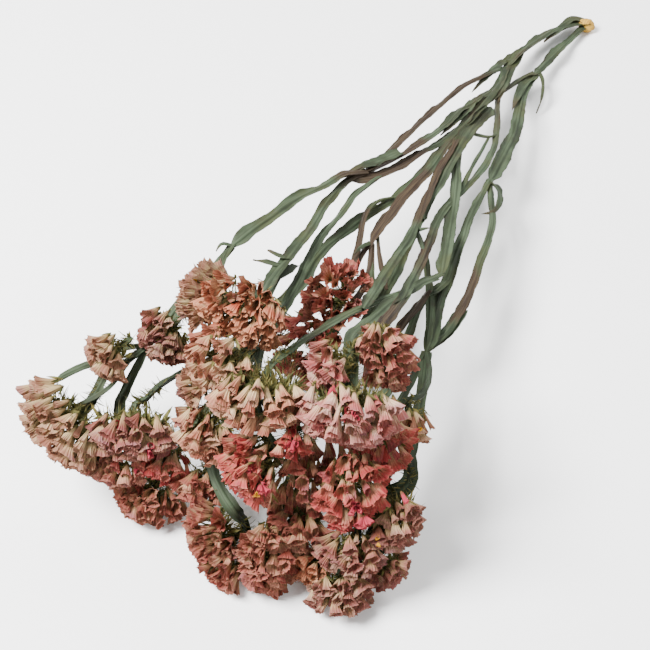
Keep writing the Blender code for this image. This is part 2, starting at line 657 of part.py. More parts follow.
class FlowerHead:
    """One head: cells over a small core, each raised into an open funnel."""

    def __init__(self, head, draw):
        along, across, out = head_axes(head)
        self.head = head
        self.draw = draw
        self.radius = core_radius(head)
        self.centre = seat_point(head) + out * core_height(head)
        self.turn = Matrix((along, across, out)).transposed()
        self.directions, self.count = funnel_directions(head, draw)
        self.corners, self.cells = cell_corners(self.directions)

    def spot(self, direction, distance):
        """The place at a distance from the core's long middle, kept above the head's seat."""
        stretch = Vector((direction.x * self.head.spread / 2, 0.0, 0.0))
        local = direction * distance + stretch
        local.z = max(local.z, SEAT_GAP - core_height(self.head))
        return self.centre + self.turn @ local

    def pressed(self, direction, distance):
        """A distance along a direction, shortened to where it meets the surface that the plant lies on."""
        fall = -(self.turn @ direction).z
        foot = self.spot(direction, 0.0).z
        return min(distance, foot / fall) if fall > 0 else distance

    def rim(self, number, fill):
        """Directions of a cell's corners, drawn in towards its middle."""
        direction = self.directions[number]
        return [direction.lerp(self.corners[index], fill).normalized() for index in self.cells[number]]

    def core_tree(self):
        """The core's surface, a little swollen, for other heads to stay clear of."""
        verts = [self.spot(corner, self.radius + CLEARANCE) for corner in self.corners]
        faces = [face for cell in self.cells for face in fan(cell)]
        return BVHTree.FromPolygons(verts, faces)

    def funnel_tree(self, number, length):
        """A funnel's surface, a little swollen."""
        foot = [self.spot(ray, self.radius + CLEARANCE) for ray in self.rim(number, MOUTH_FILL)]
        reach = length * (1 + RIM_JITTER) + CLEARANCE
        mouth = [self.spot(ray, reach) for ray in self.rim(number, MOUTH_SWOLLEN)]
        sides = len(foot)
        faces = [(k, (k + 1) % sides, sides + (k + 1) % sides, sides + k) for k in range(sides)]
        faces += [tuple(range(sides)), tuple(range(sides, 2 * sides))]
        return BVHTree.FromPolygons(foot + mouth, faces)

    def free_length(self, number, length, taken):
        """The longest length at which a funnel stays clear of other pieces, or None."""
        for scale in FUNNEL_SCALES:
            wanted = self.radius + (length - self.radius) * scale
            funnel = self.funnel_tree(number, wanted)
            if not any(funnel.overlap(other) for other in taken):
                return wanted
        return None

    def mouth_depth(self, number, length):
        """How far out the middle of a funnel's mouth is: dimpled, or flat where the surface presses on it."""
        flat = self.pressed(self.directions[number], length)
        return flat if flat < length else max(length - MOUTH_DIMPLE, self.radius + 1.0)

    def build(self, taken):
        """Raise the funnels and make the object."""
        verts = [self.spot(corner, self.radius) for corner in self.corners]
        faces = []
        for number, cell in enumerate(self.cells):
            length = self.head.reach * (1 + self.draw.uniform(-LENGTH_JITTER, LENGTH_JITTER))
            rim_steps = [1 + self.draw.uniform(-RIM_JITTER, RIM_JITTER) for _ in cell]
            if number < self.count:
                length = self.free_length(number, length, taken)
            if number >= self.count or length is None:
                faces += fan(cell)
                continue
            mouth = list(range(len(verts), len(verts) + len(cell)))
            for ray, step in zip(self.rim(number, MOUTH_FILL), rim_steps):
                verts.append(self.spot(ray, self.pressed(ray, length * step)))
            middle = len(verts)
            verts.append(self.spot(self.directions[number], self.mouth_depth(number, length)))
            for k, index in enumerate(cell):
                n = (k + 1) % len(cell)
                faces += side_faces(index, cell[n], mouth[k], mouth[n])
                faces.append((mouth[k], mouth[n], middle))
        made = outward(mesh_object(self.head.name, verts, faces))
        made.data.materials.append(material(self.head.name, self.head.finish))
        return made


def side_faces(a, b, over_a, over_b):
    """A funnel's side over one edge of its cell, split the same way as the side of the funnel beside it."""
    if a < b:
        return [(a, b, over_b), (a, over_b, over_a)]
    return [(a, b, over_a), (b, over_b, over_a)]


def fan(cell):
    """Triangles that cover a cell left flat on the core."""
    return [(cell[0], cell[k], cell[k + 1]) for k in range(1, len(cell) - 1)]


def surface_of(made):
    """An object's surface in millimetres, to test others against."""
    verts = [vert.co / MM for vert in made.data.vertices]
    return BVHTree.FromPolygons(verts, [tuple(face.vertices) for face in made.data.polygons])


def settle_on_origin(objects):
    """Move every mesh so that the origin is under the middle of the whole, on the surface."""
    points = [v.co for made in objects for v in made.data.vertices]
    low = Vector([min(p[axis] for p in points) for axis in range(3)])
    high = Vector([max(p[axis] for p in points) for axis in range(3)])
    shift = Matrix.Translation(-Vector(((low.x + high.x) / 2, (low.y + high.y) / 2, low.z)))
    for made in objects:
        made.data.transform(shift)


def build_stem():
    """All branches, strap leaves and cups, grown together in one body."""
    pieces = [winged_stem(f"branch_{number}", branch) for number, branch in enumerate(BRANCHES)]
    pieces += [strap_leaf(f"leaf_{number}", leaf) for number, leaf in enumerate(STRAP_LEAVES)]
    pieces += [bract_cup("cup_" + head.name, head) for head in HEADS]
    pieces.append(cut_heel("heel"))
    stem = union_of("stem", pieces)
    clamp_to_floor(stem)
    keep_outer_body(stem)
    stem.data.materials.clear()
    stem.data.materials.append(material("stem", SAGE))
    return stem


def build_heads(stem):
    """All flower heads, each kept clear of the stem and of the other heads."""
    draw = random.Random(SEED)
    planned = [FlowerHead(head, draw) for head in HEADS]
    cores = [head.core_tree() for head in planned]
    taken = [surface_of(stem)]
    made = []
    for number, head in enumerate(planned):
        made.append(head.build(taken + cores[number + 1:]))
        taken.append(surface_of(made[-1]))
    return made


def main():
    """Build the whole stem with its flower heads."""
    clear_scene()
    stem = build_stem()
    settle_on_origin([stem, *build_heads(stem)])


main()
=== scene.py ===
"""Dried statice: papery calyces, bracts and winged stems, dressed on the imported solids, and a studio.

The tables and the sizes are in millimetres, and the branches go from the cut end to the heads. The
meshes are in metres, in the frame of the solids: the origin is under the middle of the plant, on the floor.
"""

from __future__ import annotations

import logging
import math
import random
from dataclasses import dataclass, field
from enum import Enum
from functools import partial
from typing import Sequence, Union

import bpy
import numpy as np
from mathutils import Matrix, Vector
from mathutils.bvhtree import BVHTree

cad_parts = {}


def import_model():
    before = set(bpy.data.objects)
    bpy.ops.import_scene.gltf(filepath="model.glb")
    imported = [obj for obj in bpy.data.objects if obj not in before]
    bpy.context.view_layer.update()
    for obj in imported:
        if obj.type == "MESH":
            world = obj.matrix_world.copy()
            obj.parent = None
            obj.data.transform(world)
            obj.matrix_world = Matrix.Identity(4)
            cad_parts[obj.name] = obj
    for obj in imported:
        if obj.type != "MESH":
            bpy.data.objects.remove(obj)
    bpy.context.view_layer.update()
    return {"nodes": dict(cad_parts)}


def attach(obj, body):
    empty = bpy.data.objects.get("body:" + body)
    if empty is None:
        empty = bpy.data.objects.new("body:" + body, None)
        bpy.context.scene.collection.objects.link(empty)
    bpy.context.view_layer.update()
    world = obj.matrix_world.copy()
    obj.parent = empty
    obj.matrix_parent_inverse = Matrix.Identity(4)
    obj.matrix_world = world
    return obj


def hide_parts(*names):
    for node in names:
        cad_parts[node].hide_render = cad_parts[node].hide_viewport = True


LOG = logging.getLogger("statice")
MM = 0.001
TURN = 2 * math.pi
GOLDEN_TURN = math.pi * (3 - math.sqrt(5))
# How far a random phase goes: near enough a whole turn
PHASES = 6.28
# The first head's seed; each further head has the next number
HEAD_SEED = 100
# The tables' origin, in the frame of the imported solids
SETTLED = np.array((5.018, -128.885, 0.0))

Colour = tuple[float, float, float]
Point = tuple[float, float, float]
Span = tuple[float, float]
Value = Union["Shade", float, Colour]
Marks = tuple[Union[np.ndarray, float], ...]


class Tint(Enum):
    """The colour family of a flower head."""

    PEACH = "peach"
    CREAM_PEACH = "cream_peach"
    LILAC_PINK = "lilac_pink"
    DUSTY_PINK = "dusty_pink"
    PALE_CREAM = "pale_cream"
    CORAL = "coral"
    FADED_RED = "faded_red"
    MAUVE_PINK = "mauve_pink"
    BROWN_PINK = "brown_pink"


@dataclass(frozen=True)
class Head:
    """One flower head: where it is, which way it looks and how far its calyces reach.

    The heading is counted from -Y towards +X and the pitch from level upwards, both in degrees. The lean
    turns the head's long side about the way it looks. The spread is how long that side's straight middle is.
    """

    name: str
    centre: Point
    heading: float
    pitch: float
    lean: float
    reach: float
    spread: float
    tint: Tint


@dataclass(frozen=True)
class Branch:
    """One stretch of winged stem between two forks, or between a fork and a flower head.

    The dry stretches are (from, to, how brown), as shares of the length.
    """

    route: tuple[Point, ...]
    width: float
    roll: float = 0.0
    twist: float = 0.0
    head: str = ""
    dry: tuple[tuple[float, float, float], ...] = ()


@dataclass(frozen=True)
class StrapLeaf:
    """A narrow leaf that grows at a fork, widest a third of the way along."""

    route: tuple[Point, ...]
    width: float
    roll: float = 0.0


HEADS = (
    Head("head_crown", (-18, -51, 110), 10, 30, -9, 16, 18, Tint.PEACH),
    Head("head_crown_pale", (-51, -42, 97), -50, 48, 153, 14, 10, Tint.PALE_CREAM),
    Head("head_crown_lower", (-12, -82, 101), 2, 14, -40, 16, 12, Tint.CREAM_PEACH),
    Head("head_right_front", (58, -77, 104), 28, -8, -3, 17, 18, Tint.LILAC_PINK),
    Head("head_right_above", (38, -65, 112), -8, 5, -45, 11, 8, Tint.LILAC_PINK),
    Head("head_right_top", (54, -33, 99), 43, 13, -77, 15, 12, Tint.DUSTY_PINK),
    Head("head_middle", (16, -88, 98), 23, -8, -5, 16.5, 22, Tint.CREAM_PEACH),
    Head("head_front_middle", (18, -109, 72), -13, 12, -45, 14, 14, Tint.CORAL),
    Head("head_coral", (66, -89, 60), 30, 8, 77, 15.5, 18, Tint.CORAL),
    Head("head_far_left", (-86, -127, 57), -10, 10, -29, 16.5, 24, Tint.PALE_CREAM),
    Head("head_left", (-49, -114, 57), 26, -8, 1, 14, 24, Tint.MAUVE_PINK),
    Head("head_low_right", (90, -85, 42), 42, -1, 56, 12, 16, Tint.MAUVE_PINK),
    Head("head_low_tip", (76, -116, 12), 28, -5, 0, 13.5, 8, Tint.MAUVE_PINK),
    Head("head_low_middle", (36, -123, 18), 15, 2, 98, 15.5, 22, Tint.BROWN_PINK),
    Head("head_low_left", (7, -128, 18), -20, 13, -43, 14.5, 22, Tint.BROWN_PINK),
    Head("head_left_low", (-39, -120, 13), 18, -1, -13, 14, 12, Tint.BROWN_PINK),
    Head("head_left_under", (-59, -125, 36), 13, -4, -10, 11.5, 16, Tint.DUSTY_PINK),
    Head("head_low_between", (75, -103, 31), 18, -1, 6, 13, 8, Tint.MAUVE_PINK),
    Head("head_low_under", (86, -100, 14), 34, -5, 18, 11.5, 6, Tint.MAUVE_PINK),
    Head("head_low_centre", (45, -106, 31), 22, 0, 0, 13, 9, Tint.BROWN_PINK),
    Head("head_low_peach", (55, -112, 15), -5, -2, -19, 12, 8, Tint.PEACH),
    Head("head_low_spike", (96, -93, 20), 83, -9, 12, 8, 2, Tint.MAUVE_PINK),
    Head("head_left_red", (-37, -110, 38), 22, -6, -12, 12, 10, Tint.CORAL),
    Head("head_back_red", (-6, 22, 62), 14, 74, 72, 16, 8, Tint.FADED_RED),
    Head("head_back_under", (-4, -9, 45), -2, 24, -5, 17, 12, Tint.FADED_RED),
    Head("head_inner", (35, -88, 46), 24, 5, 82, 16, 13, Tint.BROWN_PINK),
    Head("head_inner_right", (69, -67, 74), 42, 9, -10, 13, 8, Tint.CORAL),
    Head("head_small_ash", (-63, -63, 74), 4, 5, -50, 12.5, 8, Tint.MAUVE_PINK),
    Head("head_small_left", (-82, -87, 73), -10, 1, -35, 11, 8, Tint.PALE_CREAM),
    Head("head_small_middle", (-13, -100, 66), 7, 2, -38, 13.5, 10, Tint.CREAM_PEACH),
    Head("head_small_pink", (35, -91, 84), 26, 2, 95, 8.5, 2, Tint.CORAL),
    Head("head_small_tan", (-27, -87, 86), -33, 17, 134, 9, 2, Tint.PALE_CREAM),
    Head("head_low_gap", (-14, -108, 30), 8, -7, 0, 11.5, 8, Tint.BROWN_PINK),
    Head("head_small_right", (75, -41, 63), 35, -14, 81, 9, 4, Tint.PALE_CREAM),
)

# Forks that several branches share
BASE = (1, 394, 5)
FORK_UPPER = (-25, 304, 17)
FORK_LOWER = (-6, 311, 13)
FORK_MIDDLE = (-16, 211, 36)
FORK_HIGH = (-38, 116, 62)
FORK_LEFT = (-60, 3, 88)
FORK_FAR_LEFT = (-72, -64, 66)
FORK_BROWN = (-11, 74, 52)
FORK_EAST = (38, 67, 58)
FORK_WEST = (-38, -5, 44)
FORK_CENTRE = (-13, -43, 80)
FORK_LOOP = (21, 172, 37)
FORK_PALE = (7, 96, 59)
FORK_RIGHT = (52, 22, 45)
FORK_LOW = (14, -18, 30)
FORK_INNER = (50, -28, 56)
FORK_UNDER = (74, -69, 36)

BRANCHES = (
    Branch((BASE, (-10, 392, 6), (-16, 377, 7), (-21, 354, 10), (-25, 329, 13), FORK_UPPER), 12, 10, 20,
            dry=((-0.1, 1.1, 0.35),)),
    Branch(((-1, 389, 5), (-3, 372, 6), (-5, 347, 8), (-6, 329, 10), FORK_LOWER), 9, -10, 20),
    Branch((FORK_UPPER, (-20, 276, 22), (-18, 248, 28), FORK_MIDDLE), 11, 20, -10, dry=((-0.1, 1.1, 0.40),)),
    Branch((FORK_UPPER, (-31, 275, 27), (-36, 243, 35), (-37, 198, 45), (-37, 153, 54), FORK_HIGH),
            6, -15, 30, dry=((0.10, 1.1, 0.75),)),
    Branch((FORK_UPPER, (-18, 277, 20), (-10, 252, 24), (0, 230, 27), (8, 207, 31), (12, 183, 35),
            (12, 160, 39), (11, 139, 43), (12, 121, 47), (15, 103, 51), (20, 85, 56), (25, 65, 62),
            (29, 44, 68), (33, 27, 74), (35, 13, 80)), 7, 30, -60, "head_right_top",
            dry=((0.02, 0.30, 0.45), (0.60, 0.74, 0.8), (0.84, 1.1, 0.9),)),
    Branch((FORK_LOWER, (-4, 285, 17), (4, 258, 22), (12, 230, 26), (17, 200, 32), FORK_LOOP), 11, 0, -20),
    Branch((FORK_LOWER, (-11, 298, 16), (-14, 277, 21), (-17, 253, 26), (-18, 229, 31), FORK_MIDDLE),
            9, 20, 20, dry=((-0.1, 1.1, 0.45),)),
    Branch(((-21, 265, 24), (-24, 244, 28), (-26, 225, 34), (-25, 204, 39), (-26, 184, 44), (-28, 163, 50),
            (-31, 144, 55), (-35, 127, 59), FORK_HIGH), 9, 0, 30, dry=((-0.1, 0.5, 0.40), (0.60, 1.1, 0.9),)),
    Branch(((-18, 228, 31), (-19, 204, 36), (-20, 183, 41), (-23, 166, 46), (-25, 146, 51), (-28, 129, 56),
            (-34, 113, 60), (-42, 102, 65)), 9, 20, -20, dry=((-0.1, 0.4, 0.35), (0.45, 1.1, 0.9),)),
    Branch((FORK_HIGH, (-44, 99, 70), (-47, 80, 75), (-51, 62, 80), (-53, 47, 84), (-54, 33, 87),
            (-56, 20, 89), (-58, 11, 89), FORK_LEFT), 9, 10, -25, dry=((-0.1, 0.22, 0.9),)),
    Branch((FORK_HIGH, (-41, 104, 65), (-42, 88, 68), (-40, 69, 72), (-36, 49, 76), (-33, 30, 80),
            (-31, 14, 83), (-29, -4, 88)), 9, -10, 25, "head_crown", dry=((-0.1, 0.14, 0.8),)),
    Branch(((-31, 120, 58), (-32, 104, 62), (-33, 91, 64), (-31, 75, 67), (-30, 63, 69), (-30, 51, 70),
            (-28, 38, 72), (-25, 23, 74), (-20, 3, 76), (-17, -19, 78), FORK_CENTRE), 7, 15, -20),
    Branch(((-31, 15, 83), (-27, -13, 82), (-20, -40, 84)), 6, 0, 10, "head_crown_lower"),
    Branch((FORK_LEFT, (-59, -10, 88)), 3.5, 0, 20, "head_crown_pale"),
    Branch((FORK_LEFT, (-65, -14, 79), (-71, -37, 70), FORK_FAR_LEFT), 8, -20, 20),
    Branch(((-65, -16, 79), (-66, -35, 76)), 4.5, 0, 30, "head_small_ash"),
    Branch((FORK_FAR_LEFT, (-76, -78, 64), (-81, -90, 62)), 8, 10, -10, "head_far_left"),
    Branch((FORK_FAR_LEFT, (-86, -71, 61), (-94, -82, 58), (-101, -95, 58), (-103, -104, 60)), 6, -10, 20),
    Branch(((-75, -78, 64), (-76, -92, 61), (-81, -103, 58), (-87, -112, 57)), 5, 0, 30),
    Branch((FORK_FAR_LEFT, (-72, -76, 58), (-73, -86, 50), (-73, -93, 44)), 8, -10, 10, "head_left_under"),
    Branch((FORK_FAR_LEFT, (-80, -71, 69)), 4, 0, 0, "head_small_left"),
    Branch((FORK_MIDDLE, (-16, 188, 39), (-16, 168, 43), (-15, 144, 46), (-17, 128, 47), (-19, 114, 48),
            (-23, 103, 48), (-27, 89, 49), (-31, 73, 49), (-34, 59, 49), (-35, 46, 48), (-34, 30, 46),
            FORK_WEST), 9, 10, -30, dry=((0.0, 0.35, 0.45),)),
    Branch((FORK_WEST, (-39, -33, 48), (-49, -57, 55), (-54, -79, 60), (-55, -91, 61)),
            6, 20, 20, "head_left"),
    Branch((FORK_WEST, (-34, -40, 42), (-35, -70, 36), (-37, -96, 29)), 7, 0, 15, "head_left_low"),
    Branch(((-35, -70, 36), (-33, -91, 40)), 4.5, 0, 0, "head_left_red"),
    Branch((FORK_WEST, (-28, -41, 42), (-18, -75, 41), (-11, -97, 40), (0, -106, 36), (10, -110, 30)),
            8, -10, 20, "head_low_left"),
    Branch(((-14, -89, 41), (-14, -99, 38)), 4.5, 0, 0, "head_low_gap"),
    Branch((FORK_MIDDLE, (-15, 183, 42), (-12, 156, 47), (-12, 134, 50), (-12, 112, 52), (-12, 96, 52),
            (-12, 84, 52), FORK_BROWN), 8, -20, 30, dry=((0.05, 0.35, 0.5), (0.45, 1.1, 0.95),)),
    Branch((FORK_BROWN, (-12, 62, 50)), 7, 20, 0, "head_back_red", dry=((-0.1, 1.1, 1.0),)),
    Branch((FORK_BROWN, (-2, 51, 45), (-2, 22, 40)), 6, -20, 10, "head_back_under", dry=((-0.1, 0.7, 0.9),)),
    Branch(((-11, 81, 51), (-4, 70, 50), (6, 57, 50), (12, 50, 47)), 4, 0, 30, dry=((0.1, 1.1, 0.8),)),
    Branch(((-10, 74, 51), (-5, 64, 48), (1, 53, 46), (9, 46, 40)), 3.5, 0, 0),
    Branch(((-19, 115, 50), (-24, 105, 53), (-24, 91, 55), (-19, 76, 55), (-14, 62, 52), (-12, 52, 50)),
            5, 30, -20, dry=((0.3, 1.1, 0.8),)),
    Branch(((6, 106, 51), (2, 125, 49), (-1, 143, 47), (-4, 161, 45), (-7, 180, 42), (-10, 201, 38),
            (-12, 224, 32), (-13, 247, 26)), 11, -20, 40, dry=((0.2, 1.1, 0.35),)),
    Branch((FORK_MIDDLE, (-10, 179, 43), (-7, 156, 47), (-2, 132, 51), FORK_PALE, (11, 77, 63),
            (13, 61, 67), (15, 47, 71), (17, 33, 75), (20, 19, 80), (23, 0, 86)), 7, 10, -20,
            dry=((0.08, 0.55, 0.9),)),
    Branch(((37, 61, 60), (34, 47, 66), (32, 31, 72), (30, 16, 78), (30, 0, 84), (30, -15, 90),
            (33, -30, 97)), 10, 0, 20, "head_right_front"),
    Branch((FORK_MIDDLE, (-8, 184, 40), (5, 155, 43), (14, 133, 45), (22, 111, 48), (30, 89, 53),
            FORK_EAST), 9, -10, 30),
    Branch((FORK_EAST, (35, 53, 63), (29, 31, 72), (23, 13, 78), (18, -4, 84), (13, -22, 88), (9, -39, 92),
            (7, -54, 96)), 6, 0, 20, "head_middle"),
    Branch(((36, 56, 53), (37, 45, 57), (38, 34, 60), (38, 23, 62), (38, 11, 62)), 7, 20, -10,
            dry=((0.0, 1.1, 0.8),)),
    Branch(((37, 48, 56), (38, 35, 56), (40, 24, 54), (42, 12, 52), (47, -8, 54), FORK_INNER), 7, -20, 20),
    Branch((FORK_CENTRE, (-2, -67, 79), (12, -84, 76)), 7, 0, 20, "head_front_middle"),
    Branch(((1, -71, 79), (20, -80, 82)), 4, 0, 0, "head_small_pink"),
    Branch((FORK_CENTRE, (-14, -64, 73)), 5, 10, 0, "head_small_middle"),
    Branch((FORK_CENTRE, (-21, -62, 82)), 4, 0, 0, "head_small_tan"),
    Branch((FORK_LOOP, (31, 151, 39), (39, 136, 40), (44, 119, 40), (47, 101, 40), (51, 84, 41),
            (54, 67, 42), (55, 53, 43), (55, 39, 44), FORK_RIGHT), 7, -10, 30, dry=((0.50, 0.85, 0.8),)),
    Branch((FORK_LOOP, (24, 147, 40), (27, 127, 42), (31, 111, 43), (34, 95, 44), (38, 78, 45),
            (41, 62, 46), (45, 47, 47), (49, 35, 46), FORK_RIGHT), 9, 20, -20),
    Branch(((9, 90, 59), (17, 82, 58), (24, 74, 56), (30, 65, 54), (38, 53, 52), (44, 42, 50),
            (48, 32, 47), FORK_RIGHT), 6, -20, 40),
    Branch(((39, 75, 45), (38, 61, 49), (36, 51, 53)), 8, 10, 10),
    Branch(((1, 213, 32), (4, 194, 35), (7, 173, 39), (11, 150, 42)), 3.5, 0, 0),
    Branch(((4, 222, 29), (0, 212, 33), (-9, 205, 37)), 3, 0, 0),
    Branch((FORK_RIGHT, (64, -9, 45), (74, -40, 45), (83, -60, 46)), 10, 0, -20, "head_low_right"),
    Branch((FORK_RIGHT, (63, 3, 54), (69, -19, 64)), 4.5, 0, 20, "head_small_right"),
    Branch((FORK_RIGHT, (55, -12, 42), (63, -43, 39), FORK_UNDER), 8, 15, -15),
    Branch((FORK_UNDER, (76, -86, 29), (76, -103, 22)), 6, 0, 15, "head_low_tip"),
    Branch((FORK_UNDER, (72, -79, 33)), 6, 20, 0, "head_low_between"),
    Branch((FORK_UNDER, (81, -81, 30), (85, -91, 23)), 5, 0, 15, "head_low_under"),
    Branch(((76, -97, 24), (68, -101, 22)), 4, 0, 0, "head_low_peach"),
    Branch(((80, -80, 31), (88, -86, 27)), 4.5, 30, 0, "head_low_spike"),
    Branch((FORK_INNER, (55, -52, 59)), 6, 0, 10, "head_coral"),
    Branch((FORK_INNER, (58, -43, 68)), 5, 10, 10, "head_inner_right"),
    Branch((FORK_MIDDLE, (-7, 160, 38), (-3, 128, 37), (1, 103, 36), (3, 87, 35), (5, 73, 34), (6, 58, 32),
            (8, 37, 31), (12, 10, 30), FORK_LOW), 9, 10, -20),
    Branch((FORK_LOW, (21, -53, 27), (25, -84, 25)), 7, 0, 20, "head_low_middle"),
    Branch(((23, -65, 27), (35, -86, 30)), 5, 0, 20, "head_low_centre"),
    Branch((FORK_LOW, (22, -46, 38)), 6, -20, 20, "head_inner"),
    Branch(((30, -15, 90), (34, -31, 99)), 5, 0, 0, "head_right_above"),
)

STRAP_LEAVES = (
    StrapLeaf(((2, 394, 6), (-8, 385, 7), (-14, 368, 9), (-17, 351, 11)), 14, 20),
    StrapLeaf(((-25, 323, 14), (-22, 299, 19), (-16, 275, 23), (-11, 255, 26)), 15, 10),
    StrapLeaf(((-30, 311, 16), (-30, 293, 21), (-30, 275, 25), (-30, 253, 29)), 9, 0),
    StrapLeaf(((-5, 307, 14), (-7, 293, 17), (-4, 273, 21), (0, 254, 25)), 10, 0),
    StrapLeaf(((-31, 147, 56), (-35, 134, 59), (-40, 119, 63), (-46, 103, 67)), 12, 0),
    StrapLeaf(((-24, 254, 26), (-23, 230, 32), (-22, 210, 37), (-23, 189, 42)), 12, 20),
    StrapLeaf(((-7, 317, 13), (2, 306, 13), (7, 293, 10), (8, 283, 4)), 4, 30),
    StrapLeaf(((21, 171, 37), (29, 164, 40), (35, 154, 42), (36, 144, 41), (30, 139, 40)), 8, -40),
    StrapLeaf(((-31, 14, 83), (-34, 11, 86), (-42, 10, 88)), 6, 10),
    StrapLeaf(((-29, 7, 84), (-36, 3, 87), (-45, 0, 88)), 5, 0),
    StrapLeaf(((-27, 15, 79), (-27, -1, 85), (-30, -13, 90)), 8, 0),
    StrapLeaf(((10, 89, 59), (14, 90, 62), (17, 93, 62)), 3, 20),
    StrapLeaf(((55, 62, 42), (56, 47, 43), (55, 34, 44), (53, 23, 45)), 12, 10),
    StrapLeaf(((-60, 6, 88), (-57, -7, 91), (-53, -17, 93), (-50, -26, 92)), 3, 0),
    StrapLeaf(((-60, 3, 88), (-64, -1, 91), (-64, -7, 91)), 4, 0),
    StrapLeaf(((-11, 74, 52), (-13, 66, 55), (-14, 56, 56)), 4, -20),
)

HEAD_BY_NAME = {head.name: head for head in HEADS}


@dataclass(frozen=True)
class Shade:
    """A value or a colour on its way through the nodes of a finish."""

    board: Board
    socket: bpy.types.NodeSocket

    def __add__(self, other: Value) -> Shade:
        """Sum of two values."""
        return self.board.maths("ADD", self, other)

    def __sub__(self, other: Value) -> Shade:
        """Difference of two values."""
        return self.board.maths("SUBTRACT", self, other)

    def __rsub__(self, other: Value) -> Shade:
        """Difference of two values, the other way round."""
        return self.board.maths("SUBTRACT", other, self)

    def __mul__(self, other: Value) -> Shade:
        """Product of two values."""
        return self.board.maths("MULTIPLY", self, other)

    __radd__ = __add__
    __rmul__ = __mul__


class Board:
    """The nodes of one material, and the few ways in which finishes add to them."""

    gloss = 0.25

    def __init__(self, name: str) -> None:
        """Start a material with nothing but its output.

        Args:
            name: The material's name.
        """
        self.material = bpy.data.materials.new(name)
        self.material.use_nodes = True
        self.nodes = self.material.node_tree.nodes
        self.links = self.material.node_tree.links
        self.nodes.remove(self.nodes["Principled BSDF"])

    @staticmethod
    def socket_of(sockets: bpy.types.bpy_prop_collection, key: str) -> bpy.types.NodeSocket:
        """Find a socket by its identifier, or else by its name."""
        found = [socket for socket in sockets if socket.identifier == key]
        return found[0] if found else sockets[key]

    def node(self, kind: str, settings: dict | None = None, sockets: dict | None = None,
             out: str | None = None) -> Shade:
        """Add any node.

        Args:
            kind: The node's type.
            settings: Its own settings, set first. The stops of a ramp go under "stops".
            sockets: The values of its sockets, or what is linked to them.
            out: The output to give back, the first one when left out.

        Returns:
            The chosen output.
        """
        made = self.nodes.new(kind)
        for key, value in (settings or {}).items():
            if key == "stops":
                ramp = made.color_ramp
                while len(ramp.elements) < len(value):
                    ramp.elements.new(0.5)
                for element, (place, colour) in zip(ramp.elements, value):
                    element.position = place
                    element.color = (*colour, 1.0)
            else:
                setattr(made, key, value)
        for key, value in (sockets or {}).items():
            socket = self.socket_of(made.inputs, key)
            if isinstance(value, Shade):
                self.links.new(value.socket, socket)
            elif isinstance(value, tuple) and socket.type == "RGBA":
                socket.default_value = (*value, 1.0)
            else:
                socket.default_value = value
        return Shade(self, self.socket_of(made.outputs, out) if out else made.outputs[0])

    def maths(self, operation: str, first: Value, second: Value = 0.0) -> Shade:
        """Add a Math node for one or two values."""
        return self.node("ShaderNodeMath", {"operation": operation}, {"Value": first, "Value_001": second})

    def mix(self, share: Value, first: Value, second: Value) -> Shade:
        """Mix two colours, with this share of the second one."""
        return self.node("ShaderNodeMix", {"data_type": "RGBA"},
                         {"Factor_Float": share, "A_Color": first, "B_Color": second}, "Result_Color")

    def coats(self, ground: Value, *coats: tuple[Value, Value]) -> Shade:
        """Lay colours over a ground, one after the other.

        Args:
            ground: The colour underneath.
            *coats: For each coat how much of it shows, and its colour.

        Returns:
            The colour on top.
        """
        for share, colour in coats:
            ground = self.mix(share, ground, colour)
        return ground

    def marks(self, name: str) -> tuple[Shade, ...]:
        """Read the three numbers that a mesh carries at its points.

        Args:
            name: The name of the attribute.

        Returns:
            The three numbers.
        """
        vector = self.node("ShaderNodeAttribute", {"attribute_name": name}, out="Vector")
        split = self.node("ShaderNodeSeparateXYZ", sockets={"Vector": vector})
        return tuple(Shade(self, socket) for socket in split.socket.node.outputs)

    def grain(self, scale: float, detail: float = 2.0, vector: Shade | None = None) -> Shade:
        """Soft noise from 0 to 1, with the scale in waves a metre where no vector is given."""
        place = vector or self.node("ShaderNodeTexCoord", out="Object")
        return self.node("ShaderNodeTexNoise", {}, {"Vector": place, "Scale": scale, "Detail": detail}, "Fac")

    def place(self, x: Value, y: Value, z: Value = 0.0) -> Shade:
        """Put three values together as a vector."""
        return self.node("ShaderNodeCombineXYZ", {}, {"X": x, "Y": y, "Z": z})

    def rise(self, value: Shade, low: float, high: float) -> Shade:
        """A smooth step from 0 at the low value to 1 at the high one."""
        return self.node("ShaderNodeMapRange", {"interpolation_type": "SMOOTHSTEP"},
                         {"Value": value, "From Min": low, "From Max": high}, "Result")

    def fall(self, value: Shade, low: float, high: float) -> Shade:
        """A smooth step from 1 at the low value to 0 at the high one."""
        return 1.0 - self.rise(value, low, high)

    def finish(self, colour: Value, roughness: Value, bump: Shade, depth: float, strength: float,
               through: Colour | None = None, share: float = 0.0) -> bpy.types.Material:
        """Close the material with a Principled shader, and with light that comes through where it is thin.

        Args:
            colour: The base colour.
            roughness: The roughness.
            bump: The height of the relief.
            depth: How deep the relief is, in metres.
            strength: How strongly the relief shows.
            through: The colour of the light that comes through.
            share: How much of the light comes through.

        Returns:
            The material.
        """
        normal = self.node("ShaderNodeBump", {}, {"Height": bump, "Strength": strength, "Distance": depth})
        shader = self.node("ShaderNodeBsdfPrincipled", {}, {
            "Base Color": colour, "Roughness": roughness, "Normal": normal, "Specular IOR Level": self.gloss})
        if through:
            glow = self.node("ShaderNodeBsdfTranslucent", {}, {"Color": through})
            shader = self.node("ShaderNodeMixShader", {},
                               {"Fac": share, "Shader": shader, "Shader_001": glow})
        self.links.new(shader.socket, self.nodes["Material Output"].inputs["Surface"])
        return self.material


